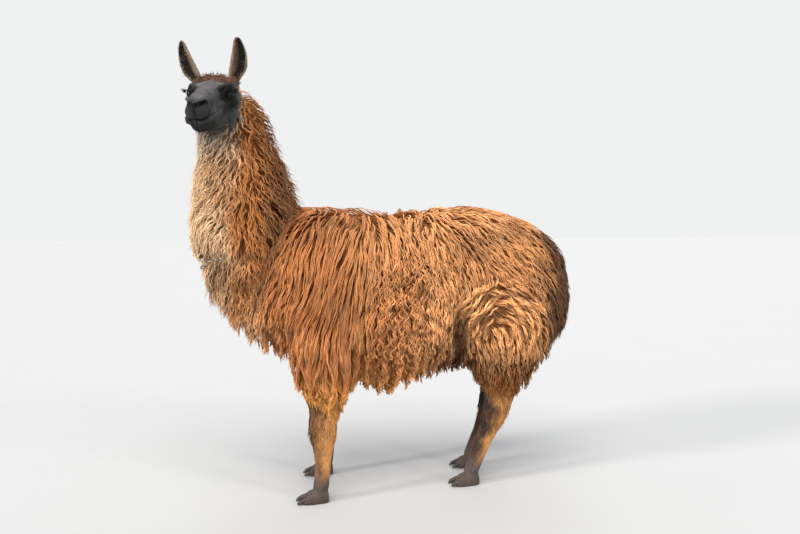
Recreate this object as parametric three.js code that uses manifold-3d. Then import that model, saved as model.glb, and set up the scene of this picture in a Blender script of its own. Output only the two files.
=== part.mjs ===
// A llama in full fleece, life size, standing still with its head turned to its left.
// Millimetres, +Z up. The animal faces -X, so its left side is -Y. The origin is on the
// ground, under the middle of its bounding box. Each solid reaches out to the tips of the coat.

import * as THREE from "three";
import { mergeVertices } from "three/addons/utils/BufferGeometryUtils.js";
import Module from "manifold-3d";

const wasm = await Module();
wasm.setup();

// ---------------------------------------------------------------- driving dimensions

const GAP = 0.4; // air left between two pieces that meet
const FINE = 0.15; // the largest step that is smoothed away where two forms are joined
const BACK = 1140; // top of the fleece along the back
const HEM = 400; // lowest wool under the belly
const RUMP = 738; // rearmost wool of the trunk
const CHEST = -655; // foremost wool of the trunk
const FLANK = 268; // half the width of the trunk at the flanks

const NECK_TOP = 1560; // where the wool of the neck ends, behind the head
const COLLAR_Z = 915; // height of the collar at the throat side
const COLLAR_CORD = 5; // half the thickness of the collar's cord

const HEAD_AT = [-714, -105, 1541]; // the point midway between the eyes
const HEAD_TURN = 72; // degrees the head is turned to the left
const HEAD_NOD = 16; // degrees the muzzle points down
const EYE_OUT = 67; // eyeball centre from the middle of the head
const EYE_R = 20;
const EAR_LENGTH = 159;

const TOE_LENGTH = 84;
const TOE_HALF_WIDTH = 19;

const COLOURS = {
  fleece: 0xb5713d,
  neck: 0xc07f45,
  face: 0x6b6560,
  ear: 0x6e655c,
  shank: 0x7a5a42,
  foot: 0x5d5048,
  tail: 0x6e3f22,
  nail: 0x2b2927,
  eye: 0x14100e,
  collar: 0x6f6a66,
};

// ---------------------------------------------------------------- solids

const SIDE = new THREE.Vector3(0, 1, 0);
const radians = THREE.MathUtils.degToRad;

// A three.js geometry as a closed solid.
function solid(geometry) {
  const bare = geometry.clone();
  bare.deleteAttribute("normal");
  bare.deleteAttribute("uv");
  const merged = mergeVertices(bare, 1e-3);
  return new wasm.Manifold(
    new wasm.Mesh({
      numProp: 3,
      vertProperties: merged.attributes.position.array,
      triVerts: new Uint32Array(merged.index.array),
    }),
  );
}

function geometryOf(made) {
  const mesh = made.getMesh();
  return new THREE.BufferGeometry()
    .setAttribute("position", new THREE.BufferAttribute(mesh.vertProperties, 3))
    .setIndex(new THREE.BufferAttribute(mesh.triVerts, 1));
}

function union(...solids) {
  return solids.reduce((all, one) => all.add(one));
}

// A closed solid through stations [x, y, z, half width, half height]. The width lies along Y. The
// height lies along `up`, or square to the path where no `up` is given. `powers` are the roundness of
// the upper and lower half of each section: 2 is an ellipse, more is squarer. `grow` makes it larger all over.
function loft(stations, { around = 24, steps = 2, up = null, powers = [2, 2], grow = 0 } = {}) {
  const centres = new THREE.CatmullRomCurve3(stations.map((s) => new THREE.Vector3(...s)));
  const halves = new THREE.CatmullRomCurve3(stations.map((s) => new THREE.Vector3(s[3], s[4], 0)));
  const geometry = new THREE.CylinderGeometry(1, 1, 1, around, (stations.length - 1) * steps);
  const position = geometry.attributes.position;
  for (let i = 0; i < position.count; i++) {
    const t = THREE.MathUtils.clamp(position.getY(i) + 0.5, 0, 1);
    const across = position.getX(i);
    const over = -position.getZ(i);
    const tangent = centres.getTangent(t);
    const square = tangent.clone().cross(SIDE).normalize();
    const height = up ?? square;
    const hand = Math.sign(square.dot(height)) || 1; // keeps the faces pointing out
    const half = halves.getPoint(t);
    const power = over > 0 ? powers[0] : powers[1];
    const radius = Math.hypot(across, over);
    const round = radius ? (Math.abs(across) ** power + Math.abs(over) ** power) ** (-1 / power) : 0;
    const point = centres
      .getPoint(t)
      .addScaledVector(SIDE, hand * across * round * (half.x + grow))
      .addScaledVector(height, over * round * (half.y + grow))
      .addScaledVector(tangent, grow * (2 * t - 1));
    position.setXYZ(i, point.x, point.y, point.z);
  }
  return solid(geometry);
}

// Stations of a part seen in profile: [x, top, bottom, half width] along the middle plane.
const profile = (rows) =>
  rows.map(([x, top, bottom, half]) => [x, 0, (top + bottom) / 2, half, (top - bottom) / 2]);

function ellipsoid([x, y, z], [rx, ry, rz], segments = 16) {
  const geometry = new THREE.SphereGeometry(1, segments, Math.round(segments * 0.6));
  return solid(geometry.scale(rx, ry, rz).translate(x, y, z));
}

// The part of a solid on the side of a level or a plane that `normal` points to.
const keep = (made, normal, offset) => made.trimByPlane(normal, offset);

const UP = new THREE.Vector3(0, 0, 1);
const BACKWARD = new THREE.Vector3(1, 0, 0);

// ---------------------------------------------------------------- trunk and tail

function trunk() {
  return loft(
    profile([
      [CHEST, 850, 760, 60],
      [CHEST + 25, 930, 660, 130],
      [-560, 1020, 590, 190],
      [-470, 1090, 545, 228],
      [-360, BACK - 8, 480, 250],
      [-230, BACK, 430, 262],
      [-90, BACK - 10, HEM, FLANK],
      [60, BACK - 8, HEM + 16, FLANK + 4],
      [200, BACK + 4, 462, FLANK + 4],
      [340, BACK - 4, 470, FLANK],
      [470, 1112, 470, 260],
      [580, 1072, 490, 236],
      [665, 1010, 530, 196],
      [715, 930, 590, 140],
      [RUMP, 840, 680, 66],
    ]),
    { around: 24, steps: 1, up: UP, powers: [2.15, 2.5] },
  );
}

function tail(grow = 0) {
  return loft(
    [
      [636, 0, 1036, 24, 18],
      [682, 0, 992, 48, 30],
      [716, 0, 915, 62, 34],
      [734, 0, 810, 68, 34],
      [738, 0, 710, 60, 32],
      [732, 0, 630, 40, 26],
      [722, 0, 588, 14, 10],
    ],
    { around: 14, steps: 1, grow },
  );
}

// ---------------------------------------------------------------- neck and collar

// The collar pinches the wool: above it the fleece of the neck hangs over it like a beard.
function neckWool() {
  const upper = loft(
    [
      [-592, 0, 935, 144, 160],
      [-592, 0, 962, 180, 192],
      [-592, 0, 1020, 184, 203],
      [-590, 0, 1100, 168, 207],
      [-596, 0, 1200, 148, 188],
      [-606, 0, 1300, 130, 168],
      [-616, 4, 1390, 114, 150],
      [-625, 8, 1470, 102, 131],
      [-628, 12, 1530, 84, 100],
      [-626, 12, NECK_TOP + 20, 40, 44],
    ],
    { around: 22, steps: 1, up: BACKWARD, powers: [2, 2] },
  );
  const lower = loft(
    [
      [-560, 0, 985, 150, 176],
      [-560, 0, 932, 168, 177],
      [-545, 0, 865, 196, 192],
      [-522, 0, 780, 198, 190],
      [-494, 0, 692, 178, 174],
      [-470, 0, 618, 132, 134],
    ],
    { around: 22, steps: 1, up: BACKWARD, powers: [2, 2.1] },
  );
  return upper.add(lower);
}

const COLLAR_AXIS = [-566, 0];
const COLLAR_REACH = [191, 178]; // fore and aft, and to each side

// A cord round the base of the neck, higher at the nape than at the throat.
function collarPoint(angle) {
  const [reach, aside] = COLLAR_REACH;
  return new THREE.Vector3(
    COLLAR_AXIS[0] - reach * Math.cos(angle),
    COLLAR_AXIS[1] + aside * Math.sin(angle),
    COLLAR_Z + 62 * Math.sin(angle / 2) ** 2 + 12 * Math.sin(2 * angle) ** 2,
  );
}

function ring(cord, sides = 6, steps = 26) {
  const points = Array.from({ length: steps }, (_, i) => collarPoint((2 * Math.PI * i) / steps));
  const section = new THREE.Shape().absarc(0, 0, cord, 0, 2 * Math.PI, false);
  const path = new THREE.CatmullRomCurve3(points, true);
  return solid(
    new THREE.ExtrudeGeometry(section, { extrudePath: path, steps, curveSegments: sides / 2 }),
  );
}

// ---------------------------------------------------------------- head

// Everything of the head is built facing +X, with +Y its left and the origin between the eyes.
function headPlace() {
  const forward = new THREE.Vector3(-1, 0, 0).applyAxisAngle(UP, radians(HEAD_TURN));
  const left = UP.clone().cross(forward);
  const nose = forward.clone().applyAxisAngle(left, radians(HEAD_NOD));
  const crown = nose.clone().cross(left);
  const matrix = new THREE.Matrix4().makeBasis(nose, left, crown);
  return matrix.setPosition(...HEAD_AT);
}

function headSolid(grow = 0) {
  const skull = loft(
    profile([
      [-134, 28, -40, 42],
      [-112, 48, -92, 76],
      [-78, 58, -116, 91],
      [-38, 57, -120, 88],
      [2, 50, -112, 76],
      [38, 42, -98, 62],
      [74, 36, -84, 53],
      [110, 31, -76, 48],
      [142, 27, -73, 47],
      [164, 19, -70, 43],
      [179, 5, -63, 33],
      [187, -14, -50, 16],
    ]),
    { around: 20, steps: 1, up: UP, powers: [2.1, 2.5], grow },
  );
  const jaw = loft(
    profile([
      [-98, -30, -108, 46],
      [-68, -30, -137, 68],
      [-24, -30, -141, 67],
      [30, -38, -131, 54],
      [82, -48, -122, 45],
      [122, -54, -119, 41],
      [150, -58, -117, 37],
      [166, -64, -108, 27],
      [173, -74, -94, 12],
    ]),
    { around: 14, steps: 1, up: UP, powers: [2, 2.2], grow },
  );
  const forelock = ellipsoid([-66, 0, 50], [42 + grow, 56 + grow, 24 + grow], 10);
  const brows = [-1, 1].map((side) =>
    ellipsoid([-8, side * 60, 27], [36 + grow, 25 + grow, 17 + grow], 10),
  );
  const temples = [-1, 1].map((side) =>
    ellipsoid([-46, side * 50, 10], [44 + grow, 38 + grow, 42 + grow], 10),
  );
  const made = union(skull, jaw, forelock, ...brows, ...temples);
  return made.simplify(FINE);
}

const eyeSolid = (side, grow = 0) =>
  ellipsoid([2, side * EYE_OUT, 0], [EYE_R + grow, EYE_R + grow, EYE_R + grow], 12);

// Slanted slits at the end of the muzzle.
function nostril(side) {
  const slit = ellipsoid([0, 0, 0], [16, 5, 9], 10);
  return slit.rotate([0, 0, side * -28]).rotate([side * 22, 0, 0]).translate([170, side * 24, -5]);
}

// Leaf-shaped ears, hollow in front, upright while the head nods. `lean` tips one outwards.
function ear(side, lean, grow = 0) {
  const share = (z) => z * EAR_LENGTH;
  const bow = 12; // how far the middle of the ear bends outwards
  const rows = [
    [-0.1, 0, 16, 17],
    [0.08, 4, 24, 20],
    [0.3, bow, 32, 19],
    [0.55, bow, 31, 16],
    [0.78, 6, 22, 12],
    [0.93, -2, 12, 7],
    [1, -6, 4, 3],
  ];
  const leaf = loft(
    rows.map(([z, y, w, d]) => [0, side * y, share(z), w, d]),
    { around: 12, steps: 1, up: BACKWARD, grow },
  );
  const hollow = loft(
    rows.slice(1, 6).map(([z, y, w, d]) => [d * 0.95, side * y, share(z), w * 0.66, d * 0.85]),
    { around: 12, steps: 1, up: BACKWARD },
  );
  const open = grow ? leaf : leaf.subtract(hollow);
  return open
    .rotate([0, 0, side * 26])
    .rotate([side * -lean, -HEAD_NOD, 0])
    .translate([-76, side * 67, 40]);
}

const EARS = [
  ["ear_left", 1, 8],
  ["ear_right", -1, 24],
];

// ---------------------------------------------------------------- legs

// [x, y, z, half width, half depth] from the hip or shoulder down to the fetlock.
const hindRows = (x, y) => [
  [x + 66, y * 0.7, 900, 50, 90],
  [x + 74, y * 0.95, 850, 100, 160],
  [x + 72, y * 1.25, 740, 126, 198],
  [x + 66, y * 1.3, 620, 120, 200],
  [x + 52, y * 1.28, 520, 100, 178],
  [x + 34, y * 1.24, 440, 78, 134],
  [x + 26, y * 1.18, 375, 60, 90],
  [x + 16, y * 1.12, 318, 48, 68],
  [x - 4, y * 1.06, 250, 40, 50],
  [x - 40, y, 170, 33, 39],
  [x - 72, y, 100, 32, 36],
  [x - 88, y, 62, 33, 35],
  [x - 92, y, 34, 30, 30],
];

const foreRows = (x, y) => [
  [x - 20, y * 0.6, 760, 40, 70],
  [x - 14, y * 0.82, 715, 84, 118],
  [x - 4, y, 620, 98, 142],
  [x + 8, y, 510, 92, 136],
  [x + 16, y, 430, 76, 116],
  [x + 12, y, 365, 60, 86],
  [x + 2, y, 315, 50, 62],
  [x, y, 265, 47, 56],
  [x, y, 215, 40, 44],
  [x, y, 150, 31, 33],
  [x - 4, y, 95, 32, 33],
  [x - 8, y, 60, 33, 34],
  [x - 12, y, 34, 30, 30],
];

const legLoft = (rows, grow = 0) =>
  loft(rows, { around: 12, steps: 1, up: BACKWARD, powers: [2, 2.1], grow });

// One of the two toes of a foot, and the nail that caps it. `heel` is the x of the fetlock.
function toe(heel, y, side) {
  const out = side * (TOE_HALF_WIDTH - 1);
  const at = (share) => heel + 34 - share * TOE_LENGTH * 1.2;
  return loft(
    [
      [at(0), y + out * 0.8, 22, 13, 21],
      [at(0.24), y + out * 0.9, 24, 19, 31],
      [at(0.72), y + out * 1.1, 19, TOE_HALF_WIDTH + 1, 26],
      [at(0.95), y + out * 1.18, 12, 15, 17],
      [at(1.02), y + out * 1.18, 9, 7, 8],
    ],
    { around: 8, steps: 1, up: UP, powers: [2, 2.4] },
  );
}

function nail(heel, y, side, grow = 0) {
  const out = side * TOE_HALF_WIDTH * 1.16;
  const from = heel + 34 - TOE_LENGTH;
  return loft(
    [
      [from + 16, y + out, 24, 6, 5],
      [from - 2, y + out, 21, 11, 10],
      [from - 28, y + out * 0.98, 12, 9.5, 9.5],
      [from - 42, y + out * 0.94, 5, 3, 3.5],
    ],
    { around: 6, steps: 1, up: UP, grow },
  );
}

// The hip and foot of each leg: [name, rows, x, y, height of the middle joint].
const LEGS = [
  ["hind_left", hindRows, 392, -112, 332],
  ["hind_right", hindRows, 470, 112, 332],
  ["fore_left", foreRows, -316, -160, 300],
  ["fore_right", foreRows, -246, 165, 300],
];
const FETLOCK = 64; // height at which a foot is parted from its shank

function leg(name, rowsAt, x, y, joint) {
  const rows = rowsAt(x, y);
  const [heel, footY] = rows[rows.length - 1];
  const nails = [-1, 1].map((side) => nail(heel, footY, side));
  const seats = [-1, 1].map((side) => nail(heel, footY, side, GAP));
  const toes = [-1, 1].map((side) => toe(heel, footY, side));
  const whole = keep(union(legLoft(rows), ...toes), [0, 0, 1], 0).simplify(FINE);
  const level = (made, low, high) => keep(keep(made, [0, 0, 1], low), [0, 0, -1], -high);
  const foot = seats.reduce((made, seat) => made.subtract(seat), level(whole, 0, FETLOCK));
  return {
    [`leg_${name}_upper`]: ["fleece", level(whole, joint + GAP, BACK)],
    [`leg_${name}_shank`]: ["shank", level(whole, FETLOCK + GAP, joint)],
    [`leg_${name}_foot`]: ["foot", foot],
    [`nail_${name}_inner`]: ["nail", nails[y < 0 ? 1 : 0]],
    [`nail_${name}_outer`]: ["nail", nails[y < 0 ? 0 : 1]],
  };
}

// ---------------------------------------------------------------- assembly

// The neck is parted from the trunk by a plane from the withers to the point of the chest.
const PART_FROM = new THREE.Vector3(-392, 0, 1150);
const PART_TO = new THREE.Vector3(-640, 0, 640);

function assemble() {
  const parts = {};
  LEGS.forEach((row) => Object.assign(parts, leg(...row)));

  const place = headPlace();
  const headToBody = (made) => made.transform(place.elements);
  const eyes = [-1, 1].map((side) => eyeSolid(side));
  const sockets = [-1, 1].map((side) => eyeSolid(side, GAP));
  const ears = EARS.map(([, side, lean]) => ear(side, lean));
  const earSeats = EARS.map(([, side, lean]) => ear(side, lean, GAP));
  const nostrils = [-1, 1].map((side) => nostril(side));
  const cuts = [...sockets, ...earSeats, ...nostrils];
  const head = cuts.reduce((made, cut) => made.subtract(cut), headSolid());
  parts.head = ["face", headToBody(head)];
  parts.eye_right = ["eye", headToBody(eyes[0])];
  parts.eye_left = ["eye", headToBody(eyes[1])];
  EARS.forEach(([name], i) => (parts[name] = ["ear", headToBody(ears[i])]));

  const slope = PART_TO.clone().sub(PART_FROM).normalize();
  const normal = SIDE.clone().cross(slope).normalize(); // points up and forward, to the neck
  const offset = normal.dot(PART_FROM);
  const facing = [normal.x, normal.y, normal.z];
  const behind = facing.map((n) => -n);
  const legSeats = LEGS.map(([, rowsAt, x, y]) => legLoft(rowsAt(x, y), GAP));
  const headSeat = [headSolid(GAP), ...earSeats].map(headToBody);

  const flesh = trunk().add(neckWool());
  const body = legSeats.reduce((made, seat) => made.subtract(seat), keep(flesh, behind, -offset));
  const collarSeat = ring(COLLAR_CORD + GAP);
  parts.trunk = ["fleece", body.subtract(tail(GAP)).subtract(collarSeat)];
  parts.tail = ["tail", tail()];
  const neckSeats = [...headSeat, ...legSeats, collarSeat];
  const neck = keep(flesh, facing, offset + GAP);
  parts.neck = ["neck", neckSeats.reduce((made, seat) => made.subtract(seat), neck)];
  parts.collar = ["collar", ring(COLLAR_CORD)];
  return parts;
}

// The largest body of a solid, without the slivers that a cut can leave.
function largest(made) {
  return made.decompose().sort((a, b) => b.volume() - a.volume())[0];
}

const llama = new THREE.Group();
for (const [name, [slot, made]] of Object.entries(assemble())) {
  const roughness = slot === "eye" ? 0.1 : slot === "nail" ? 0.5 : 0.9;
  const material = new THREE.MeshStandardMaterial({ color: COLOURS[slot], roughness, metalness: 0 });
  const mesh = new THREE.Mesh(geometryOf(largest(made.simplify(FINE))), material);
  mesh.name = name;
  llama.add(mesh);
}

// The origin is moved under the middle of the bounding box.
const box = new THREE.Box3().setFromObject(llama);
const middle = box.getCenter(new THREE.Vector3());
llama.position.set(-middle.x, -middle.y, -box.min.z);

export default llama;
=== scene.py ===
"""A llama in full fleece, standing with its head turned to its left, on a plain pale floor.

Metres, in the row frame: +Z up, the body faces -X and its left side is -Y. One skin is made from
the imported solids, sunk by the depth of the coat, with the head worked out finely. Locks of solid
mesh lie over it, and their tips come back out to the surface of the solids.

A share is a value from 0 to 1 for each point. p are points in the row frame, q the same points in the
head's own frame, in millimetres, and n the skin's normals.
"""

import itertools
import math

import bmesh
import bpy
import numpy as np
import openvdb as vdb
from mathutils import Matrix, Vector
from mathutils.kdtree import KDTree


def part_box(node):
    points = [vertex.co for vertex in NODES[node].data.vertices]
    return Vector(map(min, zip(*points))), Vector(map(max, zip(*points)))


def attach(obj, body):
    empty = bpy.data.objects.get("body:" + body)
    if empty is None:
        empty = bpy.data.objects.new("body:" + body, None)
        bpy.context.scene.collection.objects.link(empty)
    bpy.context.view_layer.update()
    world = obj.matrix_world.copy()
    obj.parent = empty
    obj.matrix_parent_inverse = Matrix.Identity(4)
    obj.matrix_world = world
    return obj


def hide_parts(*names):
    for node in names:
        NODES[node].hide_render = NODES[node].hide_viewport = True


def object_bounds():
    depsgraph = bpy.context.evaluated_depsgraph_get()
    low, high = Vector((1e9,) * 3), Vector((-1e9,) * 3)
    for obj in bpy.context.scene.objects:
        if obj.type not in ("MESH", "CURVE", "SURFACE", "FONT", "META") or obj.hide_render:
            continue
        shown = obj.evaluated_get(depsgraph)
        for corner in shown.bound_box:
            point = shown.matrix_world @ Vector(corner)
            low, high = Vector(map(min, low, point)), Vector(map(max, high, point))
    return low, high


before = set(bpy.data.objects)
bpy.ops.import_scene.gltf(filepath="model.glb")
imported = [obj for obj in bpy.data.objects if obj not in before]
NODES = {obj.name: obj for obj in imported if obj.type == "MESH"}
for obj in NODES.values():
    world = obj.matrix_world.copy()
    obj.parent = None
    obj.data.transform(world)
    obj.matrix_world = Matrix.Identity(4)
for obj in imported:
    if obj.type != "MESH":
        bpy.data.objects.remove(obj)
CAD_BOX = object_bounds()
rng = np.random.default_rng(11)
MM = 0.001

# ------------------------------------------------------------------ small tools


def mix(a, b, t):
    """a where t is 0, b where it is 1."""
    return a + (b - a) * t


def step(low, high, value):
    """0 below low, 1 above high, smooth between."""
    t = np.clip((value - low) / (high - low), 0.0, 1.0)
    return t * t * (3 - 2 * t)


def join(a, b, k):
    """The union of two distance fields, rounded over k."""
    h = np.clip(0.5 + 0.5 * (b - a) / k, 0, 1)
    return mix(b, a, h) - k * h * (1 - h)


def carve(a, b, k):
    """Field a with b cut out of it, rounded over k."""
    return -join(-a, b, k)


def hump(value, middle, width):
    """1 at the middle, and falling smoothly to 0 on both sides."""
    return np.exp(-(((value - middle) / width) ** 2))


def xyz(p):
    """The coordinates of points, one array each."""
    return p[..., 0], p[..., 1], p[..., 2]


def unit(v):
    """Vectors at length 1."""
    return v / np.maximum(np.linalg.norm(v, axis=-1, keepdims=True), 1e-9)


def dot(a, b):
    """Scalar products, keeping the last axis."""
    return (a * b).sum(-1, keepdims=True)


def spline(t, rows):
    """Values at t on a smooth curve through rows of [t, value, value ...]."""
    rows = np.asarray(rows, float)
    at, values = rows[:, 0], rows[:, 1:]
    rate = np.gradient(values, at, axis=0)
    i = np.clip(np.searchsorted(at, t) - 1, 0, len(at) - 2)
    span = at[i + 1] - at[i]
    u = np.clip((t - at[i]) / span, 0, 1)[..., None]
    span = span[..., None]
    return (
        (1 + 2 * u) * (1 - u) ** 2 * values[i] + u * (1 - u) ** 2 * span * rate[i]
        + u * u * (3 - 2 * u) * values[i + 1] + u * u * (u - 1) * span * rate[i + 1]
    )


def rotation(axis, degrees):
    return np.array(Matrix.Rotation(math.radians(degrees), 3, axis))


def ellipsoid(p, middle, radii):
    """Distance, nearly, from points p to an ellipsoid."""
    radii = np.asarray(radii, np.float32)
    q = (p - np.asarray(middle, np.float32)) / radii
    near = np.linalg.norm(q, axis=-1)
    return near * (near - 1) / np.maximum(np.linalg.norm(q / radii, axis=-1), 1e-6)


def rope(p, points, radius):
    """Distance from p to a cord through points, of the given radius or radii."""
    points = np.asarray(points, np.float32)
    radii = np.broadcast_to(np.asarray(radius, np.float32), (len(points),))
    best = None
    for a, b, ra, rb in zip(points[:-1], points[1:], radii[:-1], radii[1:]):
        along = np.clip(((p - a) @ (b - a)) / ((b - a) @ (b - a)), 0, 1)
        d = np.linalg.norm(p - a - along[..., None] * (b - a), axis=-1) - mix(ra, rb, along)
        best = d if best is None else np.minimum(best, d)
    return best


def gathered(items, field, kind=np.float32):
    """One field of all the items of a Blender mesh, in threes."""
    values = np.empty(len(items) * 3, kind)
    items.foreach_get(field, values)
    return values.reshape(-1, 3)


def corner_vertices(mesh):
    """The vertex at each corner of each face."""
    corners = np.empty(len(mesh.loops), np.int32)
    mesh.loops.foreach_get("vertex_index", corners)
    return corners


def tree_of(points):
    """A tree that finds the nearest of some points."""
    tree = KDTree(len(points))
    for i, p in enumerate(points.tolist()):
        tree.insert(p, i)
    tree.balance()
    return tree


def box_round(nodes, below, above):
    """Corners of the box round some CAD nodes, with room added below and above."""
    boxes = [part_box(n) for n in nodes]
    low = np.min([np.array(b[0]) for b in boxes], 0) - below
    high = np.max([np.array(b[1]) for b in boxes], 0) + above
    return low, high


# ------------------------------------------------------------------ distance fields

CAD_GAP = 3 * MM  # wider than the gaps between neighbouring solids


def node_faces(*names):
    """Points and triangles of CAD nodes, joined."""
    points, faces, start = [], [], 0
    for name in names:
        mesh = NODES[name].data
        mesh.calc_loop_triangles()
        points.append(gathered(mesh.vertices, "co"))
        faces.append(gathered(mesh.loop_triangles, "vertices", np.int32) + start)
        start += len(mesh.vertices)
    return np.concatenate(points), np.concatenate(faces).astype(np.uint32)


def level_set(points, triangles, quads, voxel, outside, inside):
    """Distance to a closed surface, as far as the two reaches outside and inside it."""
    return vdb.FloatGrid.createLevelSetFromPolygons(
        points, triangles=triangles, quads=quads,
        transform=vdb.createLinearTransform(voxelSize=voxel),
        exBandWidth=outside / voxel, inBandWidth=inside / voxel,
    )


class Field:
    """A block of values on a lattice of the given pitch."""

    def __init__(self, low, high, voxel):
        self.voxel = voxel
        self.low = np.floor(np.asarray(low) / voxel).astype(int)
        self.size = np.ceil(np.asarray(high) / voxel).astype(int) - self.low + 1
        self.values = None

    def points(self):
        """The places of the lattice's points."""
        axes = [(self.low[i] + np.arange(self.size[i])) * self.voxel for i in range(3)]
        return np.stack(np.meshgrid(*axes, indexing="ij"), -1).astype(np.float32)

    def read(self, grid):
        """Takes the values from a grid of the same pitch."""
        self.values = np.empty(tuple(self.size), np.float32)
        grid.copyToArray(self.values, ijk=tuple(int(i) for i in self.low))
        return self

    def blur(self, passes):
        """Smooths the values along each axis in turn."""
        v = self.values
        for _ in range(passes):
            for axis in range(3):
                n = v.shape[axis]
                ahead = np.take(v, np.minimum(np.arange(n) + 1, n - 1), axis)
                behind = np.take(v, np.maximum(np.arange(n) - 1, 0), axis)
                v = v * 0.5 + (ahead + behind) * 0.25
        self.values = v
        return self

    def at(self, p):
        """Values at points p, blended between lattice points."""
        g = np.asarray(p, np.float32) / self.voxel - self.low
        g = np.clip(g, 0, self.size - 1.001)
        i = g.astype(np.int32)
        f = (g - i).astype(np.float32)
        total = 0
        for far in itertools.product((0, 1), repeat=3):
            weight = 1
            for axis in range(3):
                weight = weight * (f[..., axis] if far[axis] else 1 - f[..., axis])
            total = total + weight * self.values[xyz(i + np.array(far))]
        return total

    def slope(self, p):
        """Unit direction in which the field rises fastest at points p."""
        rise = []
        for axis in range(3):
            d = np.zeros(3, np.float32)
            d[axis] = self.voxel
            rise.append(self.at(p + d) - self.at(p - d))
        return unit(np.stack(rise, -1))

    def surface(self):
        """Points, triangles and quads where the field is zero."""
        band = 4 * self.voxel
        grid = vdb.FloatGrid(band)
        corner = tuple(int(i) for i in self.low)
        grid.copyFromArray(np.clip(self.values, -band, band), ijk=corner)
        grid.transform = vdb.createLinearTransform(voxelSize=self.voxel)
        return grid.convertToPolygons(0.0, 0.0)


def closed_field(names, low, high, voxel, outside, inside):
    """Distance to the joined solids of some nodes, with the thin gaps between them closed."""
    points, triangles = node_faces(*names)
    first = level_set(points, triangles, None, voxel, outside + CAD_GAP, inside)
    grown = first.convertToPolygons(CAD_GAP, 0.0)
    field = Field(low, high, voxel).read(level_set(*grown, voxel, outside, inside))
    field.values += CAD_GAP
    return field


# ------------------------------------------------------------------ the head's own frame

HEAD_NOD = 16  # degrees the muzzle points down
MUZZLE_TURN = 8  # millimetres its tip is held to the right
EAR_LENGTH = 159  # millimetres


def centre(node):
    """Middle of a CAD node's box."""
    low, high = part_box(node)
    return np.array((low + high) / 2, float)


EYE_L, EYE_R = centre("eye_left"), centre("eye_right")
HEAD_O = (EYE_L + EYE_R) / 2
HEAD_LEFT = unit(EYE_L - EYE_R)
LEVEL = np.cross(HEAD_LEFT, [0, 0, 1])
NOD = math.radians(HEAD_NOD)
HEAD_NOSE = LEVEL * math.cos(NOD) - np.array([0, 0, math.sin(NOD)])
HEAD_TOP = np.cross(HEAD_NOSE, HEAD_LEFT)
HEAD_M = np.stack([HEAD_NOSE, HEAD_LEFT, HEAD_TOP], 1)  # columns: ahead, left, up
EYE_OUT = float(np.linalg.norm(EYE_L - EYE_R) / 2)
EYE_RADIUS = 22 * MM
LOOK = (0.76, 0.65, 0.03)  # the way the left eye looks, in the head's frame


def bend(q, amount):
    """Moves points to the left, more towards the tip of the muzzle."""
    return q + step(80, 180, q[..., :1]) * np.array([0.0, amount, 0.0])


def to_head(p):
    """Points from the row frame to the head's: millimetres ahead, left and up of between the eyes."""
    return bend(((p - HEAD_O) @ HEAD_M) / MM, MUZZLE_TURN)


def from_head(q):
    """Points from the head's frame to the row's."""
    return HEAD_O + (bend(np.asarray(q, float), -MUZZLE_TURN) * MM) @ HEAD_M.T


EARS = {"left": (1, 8), "right": (-1, 24)}  # side, degrees it leans outwards


def ear_frame(which):
    """The turn and place of an ear in the head's frame, as the CAD nodes have them."""
    side, lean = EARS[which]
    turn = rotation("Y", -HEAD_NOD) @ rotation("X", -side * lean) @ rotation("Z", side * 26)
    return turn, np.array([-76.0, side * 67.0, 40.0])


def ear_share(q, which):
    """Points in an ear's own frame (in front of, across and up it), and their share of its length."""
    turn, place = ear_frame(which)
    e = (q - place) @ turn
    return e, e[..., 2] / EAR_LENGTH


def near_ear(e):
    """Whether points lie close to the line up the middle of their ear."""
    return np.linalg.norm(e[..., :2], axis=-1) < 46


EAR_ROWS = np.array([  # share of the length, outward bow, half width, half depth, in millimetres
    [-0.10, 0, 16, 17], [0.08, 4, 24, 20], [0.30, 12, 32, 19], [0.55, 12, 31, 16],
    [0.78, 6, 24, 13], [0.93, -1, 16, 9], [1.0, -4, 8, 5],
])


def ear_section(share, side):
    """Bow, half width and half depth of an ear at a share of its length."""
    row = spline(share, EAR_ROWS)
    return side * row[..., 0], row[..., 1], row[..., 2]


def ear_field(q, which):
    """Distance in millimetres from head points q to an ear: a thin shell, open in front."""
    e, share = ear_share(q, which)
    bow, wide, deep = ear_section(share, EARS[which][0])

    def tube(shift, half_deep, half_wide):
        p = np.stack([(e[..., 0] - shift) / half_deep, (e[..., 1] - bow) / half_wide], -1)
        near = np.linalg.norm(p, axis=-1)
        rate = np.linalg.norm(p / np.stack([half_deep, half_wide], -1), axis=-1)
        return near * (near - 1) / np.maximum(rate, 1e-6)

    ends = np.abs(share - 0.45) * EAR_LENGTH - 0.545 * EAR_LENGTH
    leaf = np.maximum(tube(0 * deep, deep - 1.5, wide - 1.5), ends)
    hollow = tube(deep * 0.66, deep * 1.14, np.maximum(wide - 6.5, 1.0))
    hollow = np.maximum(hollow, (0.03 - share) * EAR_LENGTH)
    return carve(leaf, np.maximum(hollow, (share - 0.965) * EAR_LENGTH), 2.0)


# ------------------------------------------------------------------ the skin

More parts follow.
